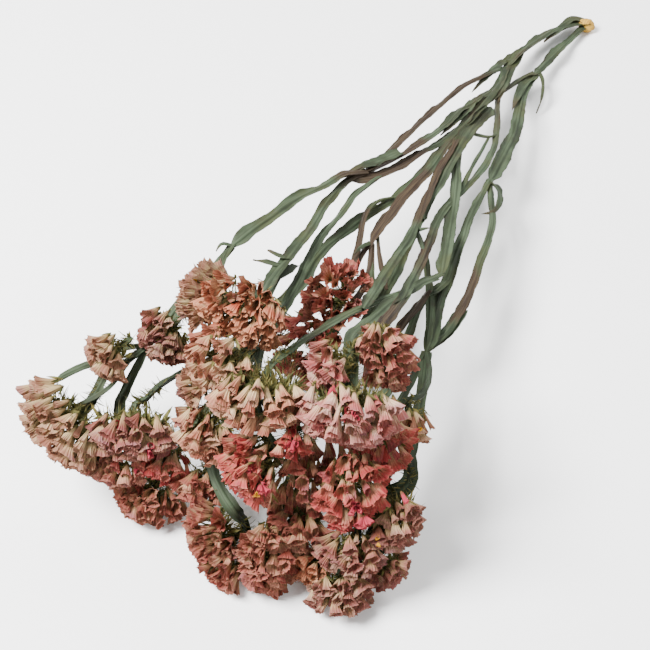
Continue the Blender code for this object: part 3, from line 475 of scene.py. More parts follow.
@dataclass(frozen=True)
class CalyxFinish:
    """Dry paper of calyces: olive at the foot, cream above it, then the head's own colour, and a worn lip.

    The noise of the blotches, blushes, shadows, stains and grit is in waves a metre.
    """

    name: str
    deep: Colour
    body: Colour
    pale: Colour
    lip: Colour
    cream: Colour = (0.381, 0.267, 0.14)
    foot: Colour = (0.0782, 0.0682, 0.0165)
    # Painted shade: dark brown laid into the valleys between the pleats
    crease_shade: Colour = (0.102, 0.0403, 0.0193)
    pink: Colour = (0.313, 0.0279, 0.0468)
    yellow: Colour = (0.51, 0.248, 0.0055)
    plum: Colour = (0.15, 0.0527, 0.0825)
    stain: Colour = (0.12, 0.06, 0.025)
    through: Colour = (0.408, 0.161, 0.099)
    blotches: float = 170.0
    blushes: float = 95.0
    shadows: float = 70.0
    stains: float = 420.0
    grit: float = 1500.0

    def material(self) -> bpy.types.Material:
        """Make the paper's material.

        Returns:
            The material. It reads the marks "shape" (around, along, draw) and "look" (rib, accent, wear).
        """
        board = Board(self.name)
        around, along, draw = board.marks("shape")
        rib, accent, wear = board.marks("look")
        blotch = board.grain(self.blotches, 3.0)
        hues = ((0.0, self.deep), (0.28, self.body), (0.58, self.body), (0.84, self.pale))
        hue = board.node("ShaderNodeValToRGB", {"stops": hues},
                         {"Fac": draw * 1.15 + blotch * 0.5 - 0.32}, "Color")
        fine = board.grain(1.0, 2.0, board.place(around * 70.0, along * 2.5, draw * 40.0))
        edge = board.grain(1.0, 2.0, board.place(around * 16.0, draw * 60.0, 3.0))
        creamy = board.fall(along + (edge - 0.5) * 0.6, 0.35, 0.92)
        lip = board.rise(along + (edge - 0.5) * 0.40, 0.66, 1.0)
        worn = board.rise(along, 0.955, 1.0) * board.rise(edge, 0.35, 0.60)
        blush = board.rise(board.grain(self.blushes), 0.52, 0.70) * board.rise(along, 0.35, 0.75)
        shadow = board.rise(board.grain(self.shadows), 0.54, 0.70) * board.rise(along, 0.40, 0.90)
        stain = board.rise(board.grain(self.stains), 0.56, 0.75) * wear
        colour = board.coats(
            hue,
            (creamy * board.rise(draw + wear * 0.6, 0.05, 0.55) * 0.85, self.cream),
            (board.rise(fine, 0.42, 0.80) * 0.40, self.pale),
            (board.fall(fine, 0.20, 0.46) * 0.45, self.deep),
            (lip * 0.70, self.lip),
            (worn * 0.55, self.pale),
            # Painted shade in the pleats' valleys, where the rib mark is low
            (board.fall(rib, 0.05, 0.62) * 0.46, self.crease_shade),
            (blush * 0.45, self.deep),
            (shadow * board.rise(draw, 0.2, 0.5) * 0.42, self.plum),
            (board.rise(accent, 0.0, 1.0), self.pink),
            (board.rise(accent * -1.0, 0.0, 1.0), self.yellow),
            (board.fall(along, 0.02, 0.26) * 0.85, self.foot),
            (stain * 0.5, self.stain),
        )
        relief = fine + board.grain(self.grit) * 0.3
        return board.finish(colour, 0.70 + blotch * 0.15, relief, 0.0004, 0.6, self.through, 0.09)


@dataclass(frozen=True)
class StemFinish:
    """Dry winged stem: waxy sage green with fibres along it, brown where it has withered.

    The noise of the clouds, blotches and grit is in waves a metre.
    """

    name: str
    wax: Colour = (0.0432, 0.0626, 0.033)
    green: Colour = (0.0144, 0.0209, 0.009)
    shadow: Colour = (0.0058, 0.0065, 0.0024)
    withered: Colour = (0.0173, 0.0086, 0.0048)
    tan: Colour = (0.0432, 0.0288, 0.0144)
    olive: Colour = (0.036, 0.0403, 0.0126)
    clouds: float = 36.0
    blotches: float = 95.0
    grit: float = 900.0

    def material(self) -> bpy.types.Material:
        """Make the stem's material.

        Returns:
            The material. It reads the marks "shape" (side, run, draw) and "look" (dry, rib, tip).
        """
        board = Board(self.name)
        side, run, draw = board.marks("shape")
        dry, rib, tip = board.marks("look")
        apart = board.maths("ABSOLUTE", side)
        fibre = board.grain(1.0, 3.0, board.place(side * 8.0, run * 0.05, draw * 50.0))
        patch = board.grain(1.0, 2.0, board.place(side * 0.8, run * 0.045, draw * 70.0 + 5.0))
        valley = board.rise(apart, 0.14, 0.24) * board.fall(apart, 0.24, 0.42) * board.rise(patch, 0.25, 0.6)
        blotch = board.rise(board.grain(self.blotches, 4.0), 0.56, 0.70)
        aged = board.rise(dry + (patch - 0.5) * 0.9 + (fibre - 0.5) * 0.5, 0.25, 0.75)
        colour = board.coats(
            self.green,
            (board.rise(patch, 0.34, 0.66), self.wax),
            (board.rise(board.grain(self.clouds, 3.0), 0.46, 0.66) * 0.65, self.olive),
            (board.rise(fibre, 0.50, 0.85) * 0.28, self.shadow),
            (rib * 0.30, self.wax),
            (valley * 0.45, self.shadow),
            (board.rise(apart, 0.84, 1.0) * 0.45, self.green),
            (blotch * (0.25 + board.rise(apart, 0.6, 1.0) * 0.45), self.withered),
            (aged, board.mix(board.rise(fibre, 0.35, 0.65), self.tan, self.withered)),
            (board.rise(tip, 0.55, 1.0) * 0.8, self.tan),
        )
        relief = fibre * 0.6 + board.grain(self.grit, 3.0) * 0.45
        return board.finish(colour, 0.62 + patch * 0.2, relief, 0.0005, 0.55)


@dataclass(frozen=True)
class BractFinish:
    """Small dry bracts: olive and straw-coloured, with brown tips. The mottling is in waves a metre."""

    name: str
    olive: Colour = (0.0416, 0.048, 0.0126)
    straw: Colour = (0.176, 0.152, 0.0455)
    brown: Colour = (0.056, 0.0304, 0.0098)
    through: Colour = (0.22, 0.22, 0.06)
    mottling: float = 500.0

    def material(self) -> bpy.types.Material:
        """Make the bracts' material.

        Returns:
            The material. It reads the marks "shape" (side, along, draw).
        """
        board = Board(self.name)
        side, along, draw = board.marks("shape")
        mottle = board.grain(self.mottling)
        colour = board.coats(
            self.olive,
            (board.rise(draw * 0.8 + mottle * 0.6, 0.45, 1.05), self.straw),
            (board.rise(along + mottle * 0.3, 0.72, 1.15) * 0.85, self.brown),
        )
        relief = board.grain(1.0, 1.0, board.place(side * 7.0, along * 2.0, draw * 30.0))
        return board.finish(colour, 0.75, relief, 0.0003, 0.5, self.through, 0.12)


@dataclass(frozen=True)
class HeelFinish:
    """Straw-coloured cut heel, with brown fibres and mottling. The mottling and grit are in waves a metre."""

    name: str
    straw: Colour = (0.47, 0.28, 0.040)
    brown: Colour = (0.22, 0.105, 0.018)
    mottling: float = 700.0
    grit: float = 1500.0

    def material(self) -> bpy.types.Material:
        """Make the heel's material.

        Returns:
            The material. It reads the marks "shape" (around, along, none).
        """
        board = Board(self.name)
        around, along, _ = board.marks("shape")
        fibre = board.grain(1.0, 3.0, board.place(around * 30.0, along * 2.0))
        colour = board.coats(
            self.straw,
            (board.rise(fibre, 0.35, 0.75), self.brown),
            (board.rise(board.grain(self.mottling, 3.0), 0.5, 0.8) * 0.6, self.brown),
        )
        return board.finish(colour, 0.8, fibre + board.grain(self.grit) * 0.4, 0.0008, 0.7)


def show(item: bpy.types.Object) -> None:
    """Put an object into the scene."""
    bpy.context.scene.collection.objects.link(item)


@dataclass
class Sheets:
    """Sheets of points in millimetres that become one mesh, with marks at every point."""

    points: list[np.ndarray] = field(default_factory=list)
    faces: list[np.ndarray] = field(default_factory=list)
    shape: list[np.ndarray] = field(default_factory=list)
    look: list[np.ndarray] = field(default_factory=list)
    crisp: list[np.ndarray] = field(default_factory=list)
    count: int = 0

    def add(self, grid: np.ndarray, shape: Marks, look: Marks = (0.0, 0.0, 0.0), closed: bool = False,
            pleated: bool = False) -> None:
        """Add one sheet.

        Args:
            grid: Rows by columns by three, in millimetres.
            shape: The three "shape" marks, each one number or an array that spreads over rows and columns.
            look: The three "look" marks, given in the same way.
            closed: Whether the last column joins the first.
            pleated: Whether the edges along its length are crisp.
        """
        rows, columns = grid.shape[:2]
        index = np.arange(rows * columns).reshape(rows, columns) + self.count
        if pleated:
            self.crisp.append(np.stack([index[:-1], index[1:]], axis=-1).reshape(-1, 2))
        after = np.roll(index, -1, axis=1)
        if not closed:
            index, after = index[:, :-1], after[:, :-1]
        quads = np.stack([index[:-1], after[:-1], after[1:], index[1:]], axis=-1)
        self.faces.append(quads.reshape(-1, 4))
        self.points.append(grid.reshape(-1, 3))
        for kept, marks in ((self.shape, shape), (self.look, look)):
            spread = [np.broadcast_to(mark, (rows, columns)) for mark in marks]
            kept.append(np.stack(spread, axis=-1).reshape(-1, 3))
        self.count += rows * columns

    def piece(self, name: str, material: bpy.types.Material, slot: str) -> bpy.types.Object:
        """Make the object, which rides on the plant.

        Args:
            name: The piece's name.
            material: Its finish.
            slot: The record's material slot; not used.

        Returns:
            The object.
        """
        points = np.concatenate(self.points) + SETTLED
        points[:, 2] = np.maximum(points[:, 2], 0.0)
        mesh = bpy.data.meshes.new(name)
        mesh.from_pydata((points * MM).tolist(), [], np.concatenate(self.faces).tolist())
        mesh.polygons.foreach_set("use_smooth", np.ones(len(mesh.polygons), bool))
        if self.crisp:
            sharp = {tuple(pair) for pair in np.concatenate(self.crisp).tolist()}
            flags = [tuple(sorted(edge.vertices)) in sharp for edge in mesh.edges]
            mesh.edges.foreach_set("use_edge_sharp", flags)
        for key, marks in (("shape", self.shape), ("look", self.look)):
            layer = mesh.attributes.new(key, "FLOAT_VECTOR", "POINT")
            layer.data.foreach_set("vector", np.concatenate(marks).astype(np.float32).ravel())
        mesh.materials.append(material)
        made = bpy.data.objects.new(name, mesh)
        show(made)
        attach(made, "root")
        LOG.info("%s: %d points, %d faces", name, len(mesh.vertices), len(mesh.polygons))
        return made


@dataclass
class Curve:
    """A smooth curve through given points, with even stations along it."""

    knots: Sequence[Point]
    samples: int = 16
    fewest: int = 4
    line: np.ndarray = field(init=False)
    run: np.ndarray = field(init=False)

    def __post_init__(self) -> None:
        """Lay the curve through its points, each stretch as a cubic of its four nearest."""
        knots = np.array(self.knots, float)
        padded = np.vstack([2 * knots[0] - knots[1], knots, 2 * knots[-1] - knots[-2]])
        t = (np.arange(self.samples) / self.samples)[:, None]
        parts = []
        for a, b, c, d in zip(padded, padded[1:], padded[2:], padded[3:]):
            parts.append(0.5 * (2 * b + (c - a) * t + (2 * a - 5 * b + 4 * c - d) * t ** 2
                                + (3 * b - 3 * c + d - a) * t ** 3))
        self.line = np.vstack([*parts, knots[-1:]])
        steps = np.linalg.norm(np.diff(self.line, axis=0), axis=1)
        self.run = np.concatenate([[0.0], np.cumsum(steps)])

    @property
    def length(self) -> float:
        """The curve's length."""
        return float(self.run[-1])

    def stations(self, step: float) -> tuple[np.ndarray, np.ndarray, np.ndarray]:
        """Places at even distances.

        Args:
            step: The distance between two of them.

        Returns:
            The places, the directions there, and the shares of the length.
        """
        share = np.linspace(0.0, 1.0, max(self.fewest, round(self.length / step) + 1))
        reached = share * self.length
        places = np.stack([np.interp(reached, self.run, axis) for axis in self.line.T], axis=1)
        ahead = np.gradient(places, axis=0)
        return places, ahead / np.linalg.norm(ahead, axis=1, keepdims=True), share


def frame_along(ahead: np.ndarray, roll: np.ndarray) -> tuple[np.ndarray, np.ndarray]:
    """Sideways and upward directions along a curve.

    Args:
        ahead: The directions of the curve.
        roll: How far each place is rolled about the curve, in degrees.

    Returns:
        The sideways and the upward unit vectors.
    """
    side = np.stack([ahead[:, 1], -ahead[:, 0], np.zeros(len(ahead))], axis=1)
    side /= np.linalg.norm(side, axis=1, keepdims=True)
    turn = np.radians(roll)[:, None]
    rolled = side * np.cos(turn) + np.cross(ahead, side) * np.sin(turn)
    lifted = np.cross(rolled, ahead)
    lifted *= np.where(lifted[:, 2:] < 0, -1.0, 1.0)
    return rolled, lifted


def facing(heading: float, pitch: float) -> Vector:
    """The unit vector at a heading from -Y towards +X and a pitch upwards, both in degrees."""
    turn, rise = math.radians(heading), math.radians(pitch)
    return Vector((math.sin(turn) * math.cos(rise), -math.cos(turn) * math.cos(rise), math.sin(rise)))


def beside(axis: np.ndarray, hint: Point, turn: float) -> np.ndarray:
    """A direction square to an axis.

    Args:
        axis: The axis, a unit vector.
        hint: A direction that it is square to as well while it isn't turned.
        turn: How far it is turned about the axis, in radians.

    Returns:
        The unit vector.
    """
    side = np.cross(axis, hint)
    side /= np.linalg.norm(side)
    return side * math.cos(turn) + np.cross(axis, side) * math.sin(turn)


def jitter(draw: random.Random, amount: float = 1.0) -> np.ndarray:
    """Three random numbers, each up to an amount either way."""
    return np.array([draw.uniform(-amount, amount) for _ in range(3)])


def spun_axes(draw: random.Random, way: np.ndarray) -> tuple[np.ndarray, np.ndarray, np.ndarray]:
    """Three square axes, spun at random about the last one.

    Args:
        draw: The source of chance.
        way: The way that the last one points.

    Returns:
        The axes.
    """
    axis = Vector(way).normalized()
    turned = Matrix.Rotation(draw.uniform(0, TURN), 3, axis) @ axis.orthogonal().normalized()
    side, ahead = np.array(turned), np.array(axis)
    return side, np.cross(ahead, side), ahead


def laid(foot: np.ndarray, axes: Sequence[np.ndarray], *distances: np.ndarray) -> np.ndarray:
    """Lay points out along axes.

    Args:
        foot: Where the axes start.
        axes: The axes.
        *distances: How far along each of them the points are, in rows and columns.

    Returns:
        The points, rows by columns by three.
    """
    grid = foot
    for axis, distance in zip(axes, distances):
        grid = grid + axis * distance[..., None]
    return grid


# The waves of a wander, each so many times finer than the first, and the height that they reach together
OCTAVES = (1.0, 2.1, 4.3)
OCTAVES_REACH = 1.4


def wander(draw: random.Random, share: np.ndarray, length: float, wave: float) -> np.ndarray:
    """A soft random wave along a length, about from -1 to 1.

    Args:
        draw: The source of chance.
        share: The shares of the length.
        length: The length in millimetres.
        wave: The longest wave in millimetres.

    Returns:
        The wave's height at each share.
    """
    total = np.zeros(len(share))
    for octave in OCTAVES:
        phase = draw.uniform(0.0, TURN)
        total += np.sin(share * length / wave * octave * TURN + phase) / octave
    return total / OCTAVES_REACH


# A small bract: its rows, how far into its curve its foot is, its tip's share of its width, and its fold
BLADE_ROWS = 4
BLADE_FOOT = 0.18
BLADE_TIP = 0.02
BLADE_FOLD = 0.5


def add_blade(sheets: Sheets, draw: random.Random, foot: np.ndarray, way: np.ndarray, length: float,
              width: float) -> None:
    """Add one small pointed bract, folded along its middle and curled over its length.

    Args:
        sheets: Where it goes.
        draw: The source of chance.
        foot: Where it grows from.
        way: The way it points.
        length: Its length.
        width: Its width.
    """
    axes = spun_axes(draw, way)
    t = np.linspace(0.0, 1.0, BLADE_ROWS)[:, None] ** 0.9
    across = np.array([[-1.0, 0.0, 1.0]])
    swell = np.sin((BLADE_FOOT + (1 - BLADE_FOOT) * t) * math.pi) ** 0.8
    half = width / 2 * np.maximum(swell, BLADE_TIP)
    curl = draw.uniform(-0.35, 0.5) * length * t ** 2
    grid = laid(foot, axes, half * across, curl + half * BLADE_FOLD * np.abs(across), length * t)
    sheets.add(grid, (across, t, draw.random()))


# How far the calyces reach past a head's solid, where that isn't the usual share
SWELLS: dict[str, float] = {
    "head_inner": 1.38, "head_inner_right": 1.32, "head_back_under": 1.34, "head_back_red": 1.10,
    "head_small_pink": 1.18, "head_small_tan": 1.16, "head_low_gap": 1.15, "head_low_between": 1.15,
    "head_coral": 1.10, "head_left_red": 1.12, "head_small_right": 1.10,
}

# How full and long the hair-like bracts on a head's back and stem are, where that isn't 1
MANES: dict[str, float] = {
    "head_low_right": 2.2, "head_middle": 2.2, "head_front_middle": 1.8, "head_left": 1.8,
    "head_right_front": 1.7, "head_far_left": 1.7, "head_right_above": 1.6, "head_coral": 1.6,
    "head_inner_right": 1.6, "head_low_middle": 1.5, "head_crown_lower": 1.5, "head_small_middle": 1.5,
    "head_low_left": 1.4, "head_left_red": 1.4, "head_inner": 1.4,
}


@dataclass
class WingedStems:
    """All branches with their wings, which take the place of the solid stem.

    The wings are as thick as the edge says, and the middle is thicker. A branch is narrow after a fork and
    slopes off over its last shoulder, or else turns square to its head's seat on its approach and sinks in.
    The last stretch before a head is hairy, with so many hairs to a millimetre.
    """

    step: float = 2.4
    middle: float = 2.7
    edge: float = 0.45
    narrow: float = 0.62
    slim: float = 0.90
    shoulder: float = 6.0
    approach: float = 11.0
    sink: float = 1.5
    full_width: float = 8.0
    fold: float = 0.34
    fold_change: float = 0.26
    fold_wave: float = 90.0
    waves: Span = (34.0, 41.0)
    rough: tuple[Span, Span] = ((0.13, 50.0), (0.045, 9.0))
    fade: float = 0.16
    across: tuple[float, ...] = (-1.0, -0.88, -0.70, -0.52, -0.36, -0.22, -0.10, 0.0,
                                 0.10, 0.22, 0.36, 0.52, 0.70, 0.88, 1.0)
    leaf_step: float = 1.8
    leaf_columns: int = 7
    hairy: float = 16.0
    hairs: float = 5.0
    hair_length: Span = (4.0, 9.5)
    hair_width: Span = (0.35, 0.75)
    leafy_width: Span = (1.3, 2.2)
    leafy_share: float = 0.14
    seed: int = 7

    def route(self, branch: Branch) -> tuple[Point, ...]:
        """A branch's route, led square onto its flower head's seat where it carries one.

        Args:
            branch: The branch.

        Returns:
            The points of the route.
        """
        if not branch.head:
            return branch.route
        spray = SprayShape(HEAD_BY_NAME[branch.head])
        ends = [tuple(spray.seat - spray.out * reach) for reach in (self.approach, self.sink)]
        return (*branch.route, *ends)

    def half_width(self, branch: Branch, share: np.ndarray, length: float) -> np.ndarray:
        """Half the width across the wings: narrow after a fork, broad before the next.

        Args:
            branch: The branch.
            share: The shares of its length.
            length: Its length.

        Returns:
            The half widths.
        """
        grown = self.narrow + (1 - self.narrow) * np.sin(share * math.pi / 2) ** 1.5
        slope = np.ones(len(share))
        if not branch.head:
            slope = np.minimum(1.0, 0.4 + 0.6 * (1 - share) * length / self.shoulder)
        return self.slim * branch.width * grown * slope / 2

    def dryness(self, branch: Branch, share: np.ndarray) -> np.ndarray:
        """How brown a branch is along its length.

        Args:
            branch: The branch.
            share: The shares of its length.

        Returns:
            From 0 for green to 1 for brown, at each share.
        """
        dry = np.zeros(len(share))
        for start, end, amount in branch.dry:
            inside = [np.clip(past / self.fade + 0.5, 0, 1) for past in (share - start, end - share)]
            dry = np.maximum(dry, inside[0] * inside[1] * amount)
        return dry

    @staticmethod
    def ring(places: np.ndarray, axes: Sequence[np.ndarray], x: np.ndarray, lift: np.ndarray,
             thick: np.ndarray, across: np.ndarray) -> tuple[np.ndarray, np.ndarray]:
        """Lay the upper and the lower side of a thin strip as one closed sheet.

        Args:
            places: The strip's middle.
            axes: Its sideways and upward directions.
            x: How far sideways its columns are.
            lift: How high they are.
            thick: Half its thickness there.
            across: What share of its half width they are at.

        Returns:
            The sheet's points, and the shares that its columns are at.
        """
        sides = []
        for sign, columns in ((1, slice(None)), (-1, slice(-2, 0, -1))):
            grid = laid(places[:, None], [axis[:, None] for axis in axes], x, lift + sign * thick)
            sides.append((grid[:, columns], across[columns]))
        grids, spreads = zip(*sides)
        return np.concatenate(grids, axis=1), np.concatenate(spreads)

    def loft(self, sheets: Sheets, branch: Branch, draw: random.Random) -> None:
        """Loft one branch as a closed, thin-winged stem.

        Args:
            sheets: Where it goes.
            branch: The branch.
            draw: The source of chance.
        """
        curve = Curve(self.route(branch))
        places, ahead, share = curve.stations(self.step)
        axes = frame_along(ahead, branch.roll + branch.twist * share)
        sway = partial(wander, draw, share, curve.length)
        half = self.half_width(branch, share, curve.length)
        across = np.array(self.across)
        apart = np.abs(across)
        fullness = min(1.0, branch.width / self.full_width)
        fold = self.fold + self.fold_change * sway(self.fold_wave)
        x = np.zeros((len(share), len(across)))
        lift = np.zeros_like(x)
        for sign, wave in zip((-1, 1), [sway(length) for length in self.waves]):
            rough = sum(depth * sway(length) for depth, length in self.rough)
            reach = half * (1 + rough + 0.05 * wave)
            own = np.where(np.sign(across) == sign, apart, 0.0)
            x += sign * own * reach[:, None]
            lift += own ** 1.6 * (reach * fold)[:, None] + own ** 2 * 0.75 * (wave * fullness)[:, None]
        core = np.minimum(self.middle, half * 1.3)[:, None] / 2
        bulge = core * np.exp(-(x / (core * 0.95)) ** 2)
        veins = 0.025 * fullness * np.cos(across * 3.1 * math.pi) * (apart > 0.2)
        thick = bulge + self.edge / 2 * (1 - 0.5 * apart) + 0.02
        grid, spread = self.ring(places, axes, x, lift + veins, thick, across)
        look = (self.dryness(branch, share)[:, None], np.exp(-(spread * 5) ** 2), 0.0)
        sheets.add(grid, (spread, share[:, None] * curve.length, draw.random()), look, closed=True)

    def leaf(self, sheets: Sheets, leaf: StrapLeaf, draw: random.Random) -> None:
        """Loft one strap leaf, with a wavy fold and a pointed tip.

        Args:
            sheets: Where it goes.
            leaf: The leaf.
            draw: The source of chance.
        """
        curve = Curve(leaf.route)
        places, ahead, share = curve.stations(self.leaf_step)
        axes = frame_along(ahead, np.full(len(share), leaf.roll))
        sway = partial(wander, draw, share, curve.length)
        half = leaf.width * np.maximum(0.55 + 0.9 * share - 1.42 * share ** 2, 0.03)[:, None] / 2
        across = np.linspace(-1.0, 1.0, self.leaf_columns)
        fold = 0.32 + 0.2 * sway(30.0)[:, None]
        wave = 0.5 * sway(16.0)[:, None]
        lift = np.abs(across) ** 1.5 * (half * fold) + np.sign(across) * across ** 2 * wave
        thick = 0.25 + 0.45 * np.exp(-(across * 3) ** 2)
        grid, spread = self.ring(places, axes, half * across, lift, thick, across)
        shape = (spread, share[:, None] * curve.length, draw.random())
        sheets.add(grid, shape, (0.0, 0.0, share[:, None]), closed=True)

    def fringe(self, sheets: Sheets, branch: Branch, draw: random.Random) -> None:
        """Add the hair-like bracts that stand along the last stretch below a flower head.

        Args:
            sheets: Where they go.
            branch: The branch.
            draw: The source of chance.
        """
        places, ahead, _ = Curve(self.route(branch)).stations(1.0)
        span = min(len(places) - 1, round(self.hairy * MANES.get(branch.head, 1.0)))
        for number in range(round(span * self.hairs)):
            back = span * draw.random() ** 1.3
            index = max(0, len(places) - 1 - round(back))
            flat = beside(ahead[index], (0.3, 0.1, 0.95), number * GOLDEN_TURN)
            way = ahead[index] * draw.uniform(-0.2, 1.0) + flat * draw.uniform(0.5, 1.1)
            length = draw.uniform(*self.hair_length) * (1.1 - 0.5 * back / span)
            width = self.leafy_width if draw.random() < self.leafy_share else self.hair_width
            add_blade(sheets, draw, places[index] + flat * 0.8, way, length, draw.uniform(*width))

    def build(self, bracts: bpy.types.Material) -> None:
        """Build the stems, the strap leaves and the hair-like bracts, in place of the solid stem.

        Args:
            bracts: The bracts' material.
        """
        material = StemFinish("waxy_sage_stem").material()
        draw = random.Random(self.seed)
        stems, leaves, hairs = Sheets(), Sheets(), Sheets()
        for branch in BRANCHES:
            self.loft(stems, branch, draw)
        made = stems.piece("winged_stems", material, "stem")
        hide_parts("stem")
        for leaf in STRAP_LEAVES:
            self.leaf(leaves, leaf, draw)
        leaves.piece("strap_leaves", material, "stem")
        for branch in BRANCHES:
            if branch.head:
                self.fringe(hairs, branch, draw)
        hairs.piece("stem_bracts", bracts, "stem")


@dataclass
class CutHeel:
    """The swollen, straw-coloured cut base."""

    centre: Point = (0.0, 394.0, 4.4)
    radii: Point = (6.1, 5.4, 5.0)
    cut: float = 0.62
    rows: int = 18
    columns: int = 40

    def build(self) -> None:
        """Build the heel with its split, fibrous end."""
        along = np.linspace(0.0, 1.0, self.rows)[:, None]
        around = np.arange(self.columns) / self.columns * TURN
        flat = np.sin(along * math.pi) * np.ones(self.columns)
        bark = 1 + 0.05 * np.cos(around * 9 + 1.3) + 0.04 * np.cos(around * 5)
        x = flat * np.cos(around) * bark * self.radii[0]
        y = -np.cos(along * math.pi) * np.ones(self.columns) * self.radii[1]
        end = self.radii[1] * self.cut + 0.25 * np.cos(around * 7) + 0.2 * np.cos(flat * 16)
        z = flat * np.sin(around) * bark * self.radii[2]
        sheets = Sheets()
        grid = np.stack([x, np.minimum(y, end), z], axis=-1) + np.array(self.centre)
        sheets.add(grid, (around / TURN, along, 0.0), closed=True)
        sheets.piece("cut_heel", HeelFinish("straw_heel").material(), "stem")


@dataclass
class SprayShape:
    """The frame of one flower head: its seat, its middle and the way it looks."""

    head: Head
    core_full: float = 5.4
    seat_gap: float = 0.4
    full_reach: float = 15.0
    along: np.ndarray = field(init=False)
    across: np.ndarray = field(init=False)
    out: np.ndarray = field(init=False)
    seat: np.ndarray = field(init=False)
    centre: np.ndarray = field(init=False)

    def __post_init__(self) -> None:
        """Work the frame out from the head's row in the table."""
        out = facing(self.head.heading, self.head.pitch)
        level = Vector((-out.y, out.x, 0.0)).normalized()
        along = Matrix.Rotation(math.radians(self.head.lean), 3, out) @ level
        self.out, self.along, self.across = np.array(out), np.array(along), np.array(out.cross(along))
        depth = (self.core + self.seat_gap + self.head.reach) / 2
        self.seat = np.array(self.head.centre) - self.out * depth
        self.centre = self.seat + self.out * (self.core + self.seat_gap)

    @property
    def size(self) -> float:
        """The share of full size that a small head has."""
        return min(1.0, self.head.reach / self.full_reach)

    @property
    def core(self) -> float:
        """Radius of the core that the calyces stand out of."""
        return self.core_full * self.size

    def turned(self, direction: np.ndarray) -> np.ndarray:
        """A direction of the head's own frame in the plant's frame."""
        return direction[0] * self.along + direction[1] * self.across + direction[2] * self.out

    def spot(self, direction: np.ndarray, distance: float) -> np.ndarray:
        """The place at a distance from the core's long middle."""
        stretch = direction[0] * self.head.spread / 2 * self.along
        return self.centre + stretch + self.turned(direction) * distance


class Trace(Enum):
    """What is added at a spot among the calyces, and the sign of its mark."""

    PINK_BUD = 1.0
    CALYX = 0.0
    YELLOW_PETAL = -1.0


@dataclass(frozen=True)
class Accent:
    """A spot with hot-pink buds, yellow rests of true flowers, or calyces that fill a gap."""

    head: str
    spot: Point
    count: int
    trace: Trace = Trace.PINK_BUD


ACCENTS: tuple[Accent, ...] = (
    Accent("head_front_middle", (23, -111, 80), 5),
    Accent("head_front_middle", (31, -114, 76), 4),
    Accent("head_coral", (74, -98, 70), 7),
    Accent("head_coral", (80, -100, 66), 4),
    Accent("head_right_front", (60, -80, 116), 4),
    Accent("head_left", (-54, -112, 66), 4),
    Accent("head_small_middle", (-23, -95, 76), 3),
    Accent("head_small_pink", (36, -94, 92), 3),
    Accent("head_inner_right", (91, -82, 70), 3),
    Accent("head_left", (-35, -116, 60), 3),
    Accent("head_right_above", (47, -74, 118), 2),
    Accent("head_left_under", (-42, -118, 40), 3),
    Accent("head_inner", (47, -71, 64), 6, Trace.CALYX),
    Accent("head_inner", (41, -77, 60), 5, Trace.CALYX),
    Accent("head_crown", (-20, -39, 118), 3, Trace.YELLOW_PETAL),
    Accent("head_low_right", (86, -99, 50), 2, Trace.YELLOW_PETAL),
    Accent("head_small_right", (80, -42, 70), 2, Trace.YELLOW_PETAL),
    Accent("head_front_middle", (32, -119, 78), 2, Trace.YELLOW_PETAL),
    Accent("head_crown_pale", (-56, -41, 103), 2, Trace.YELLOW_PETAL),
)


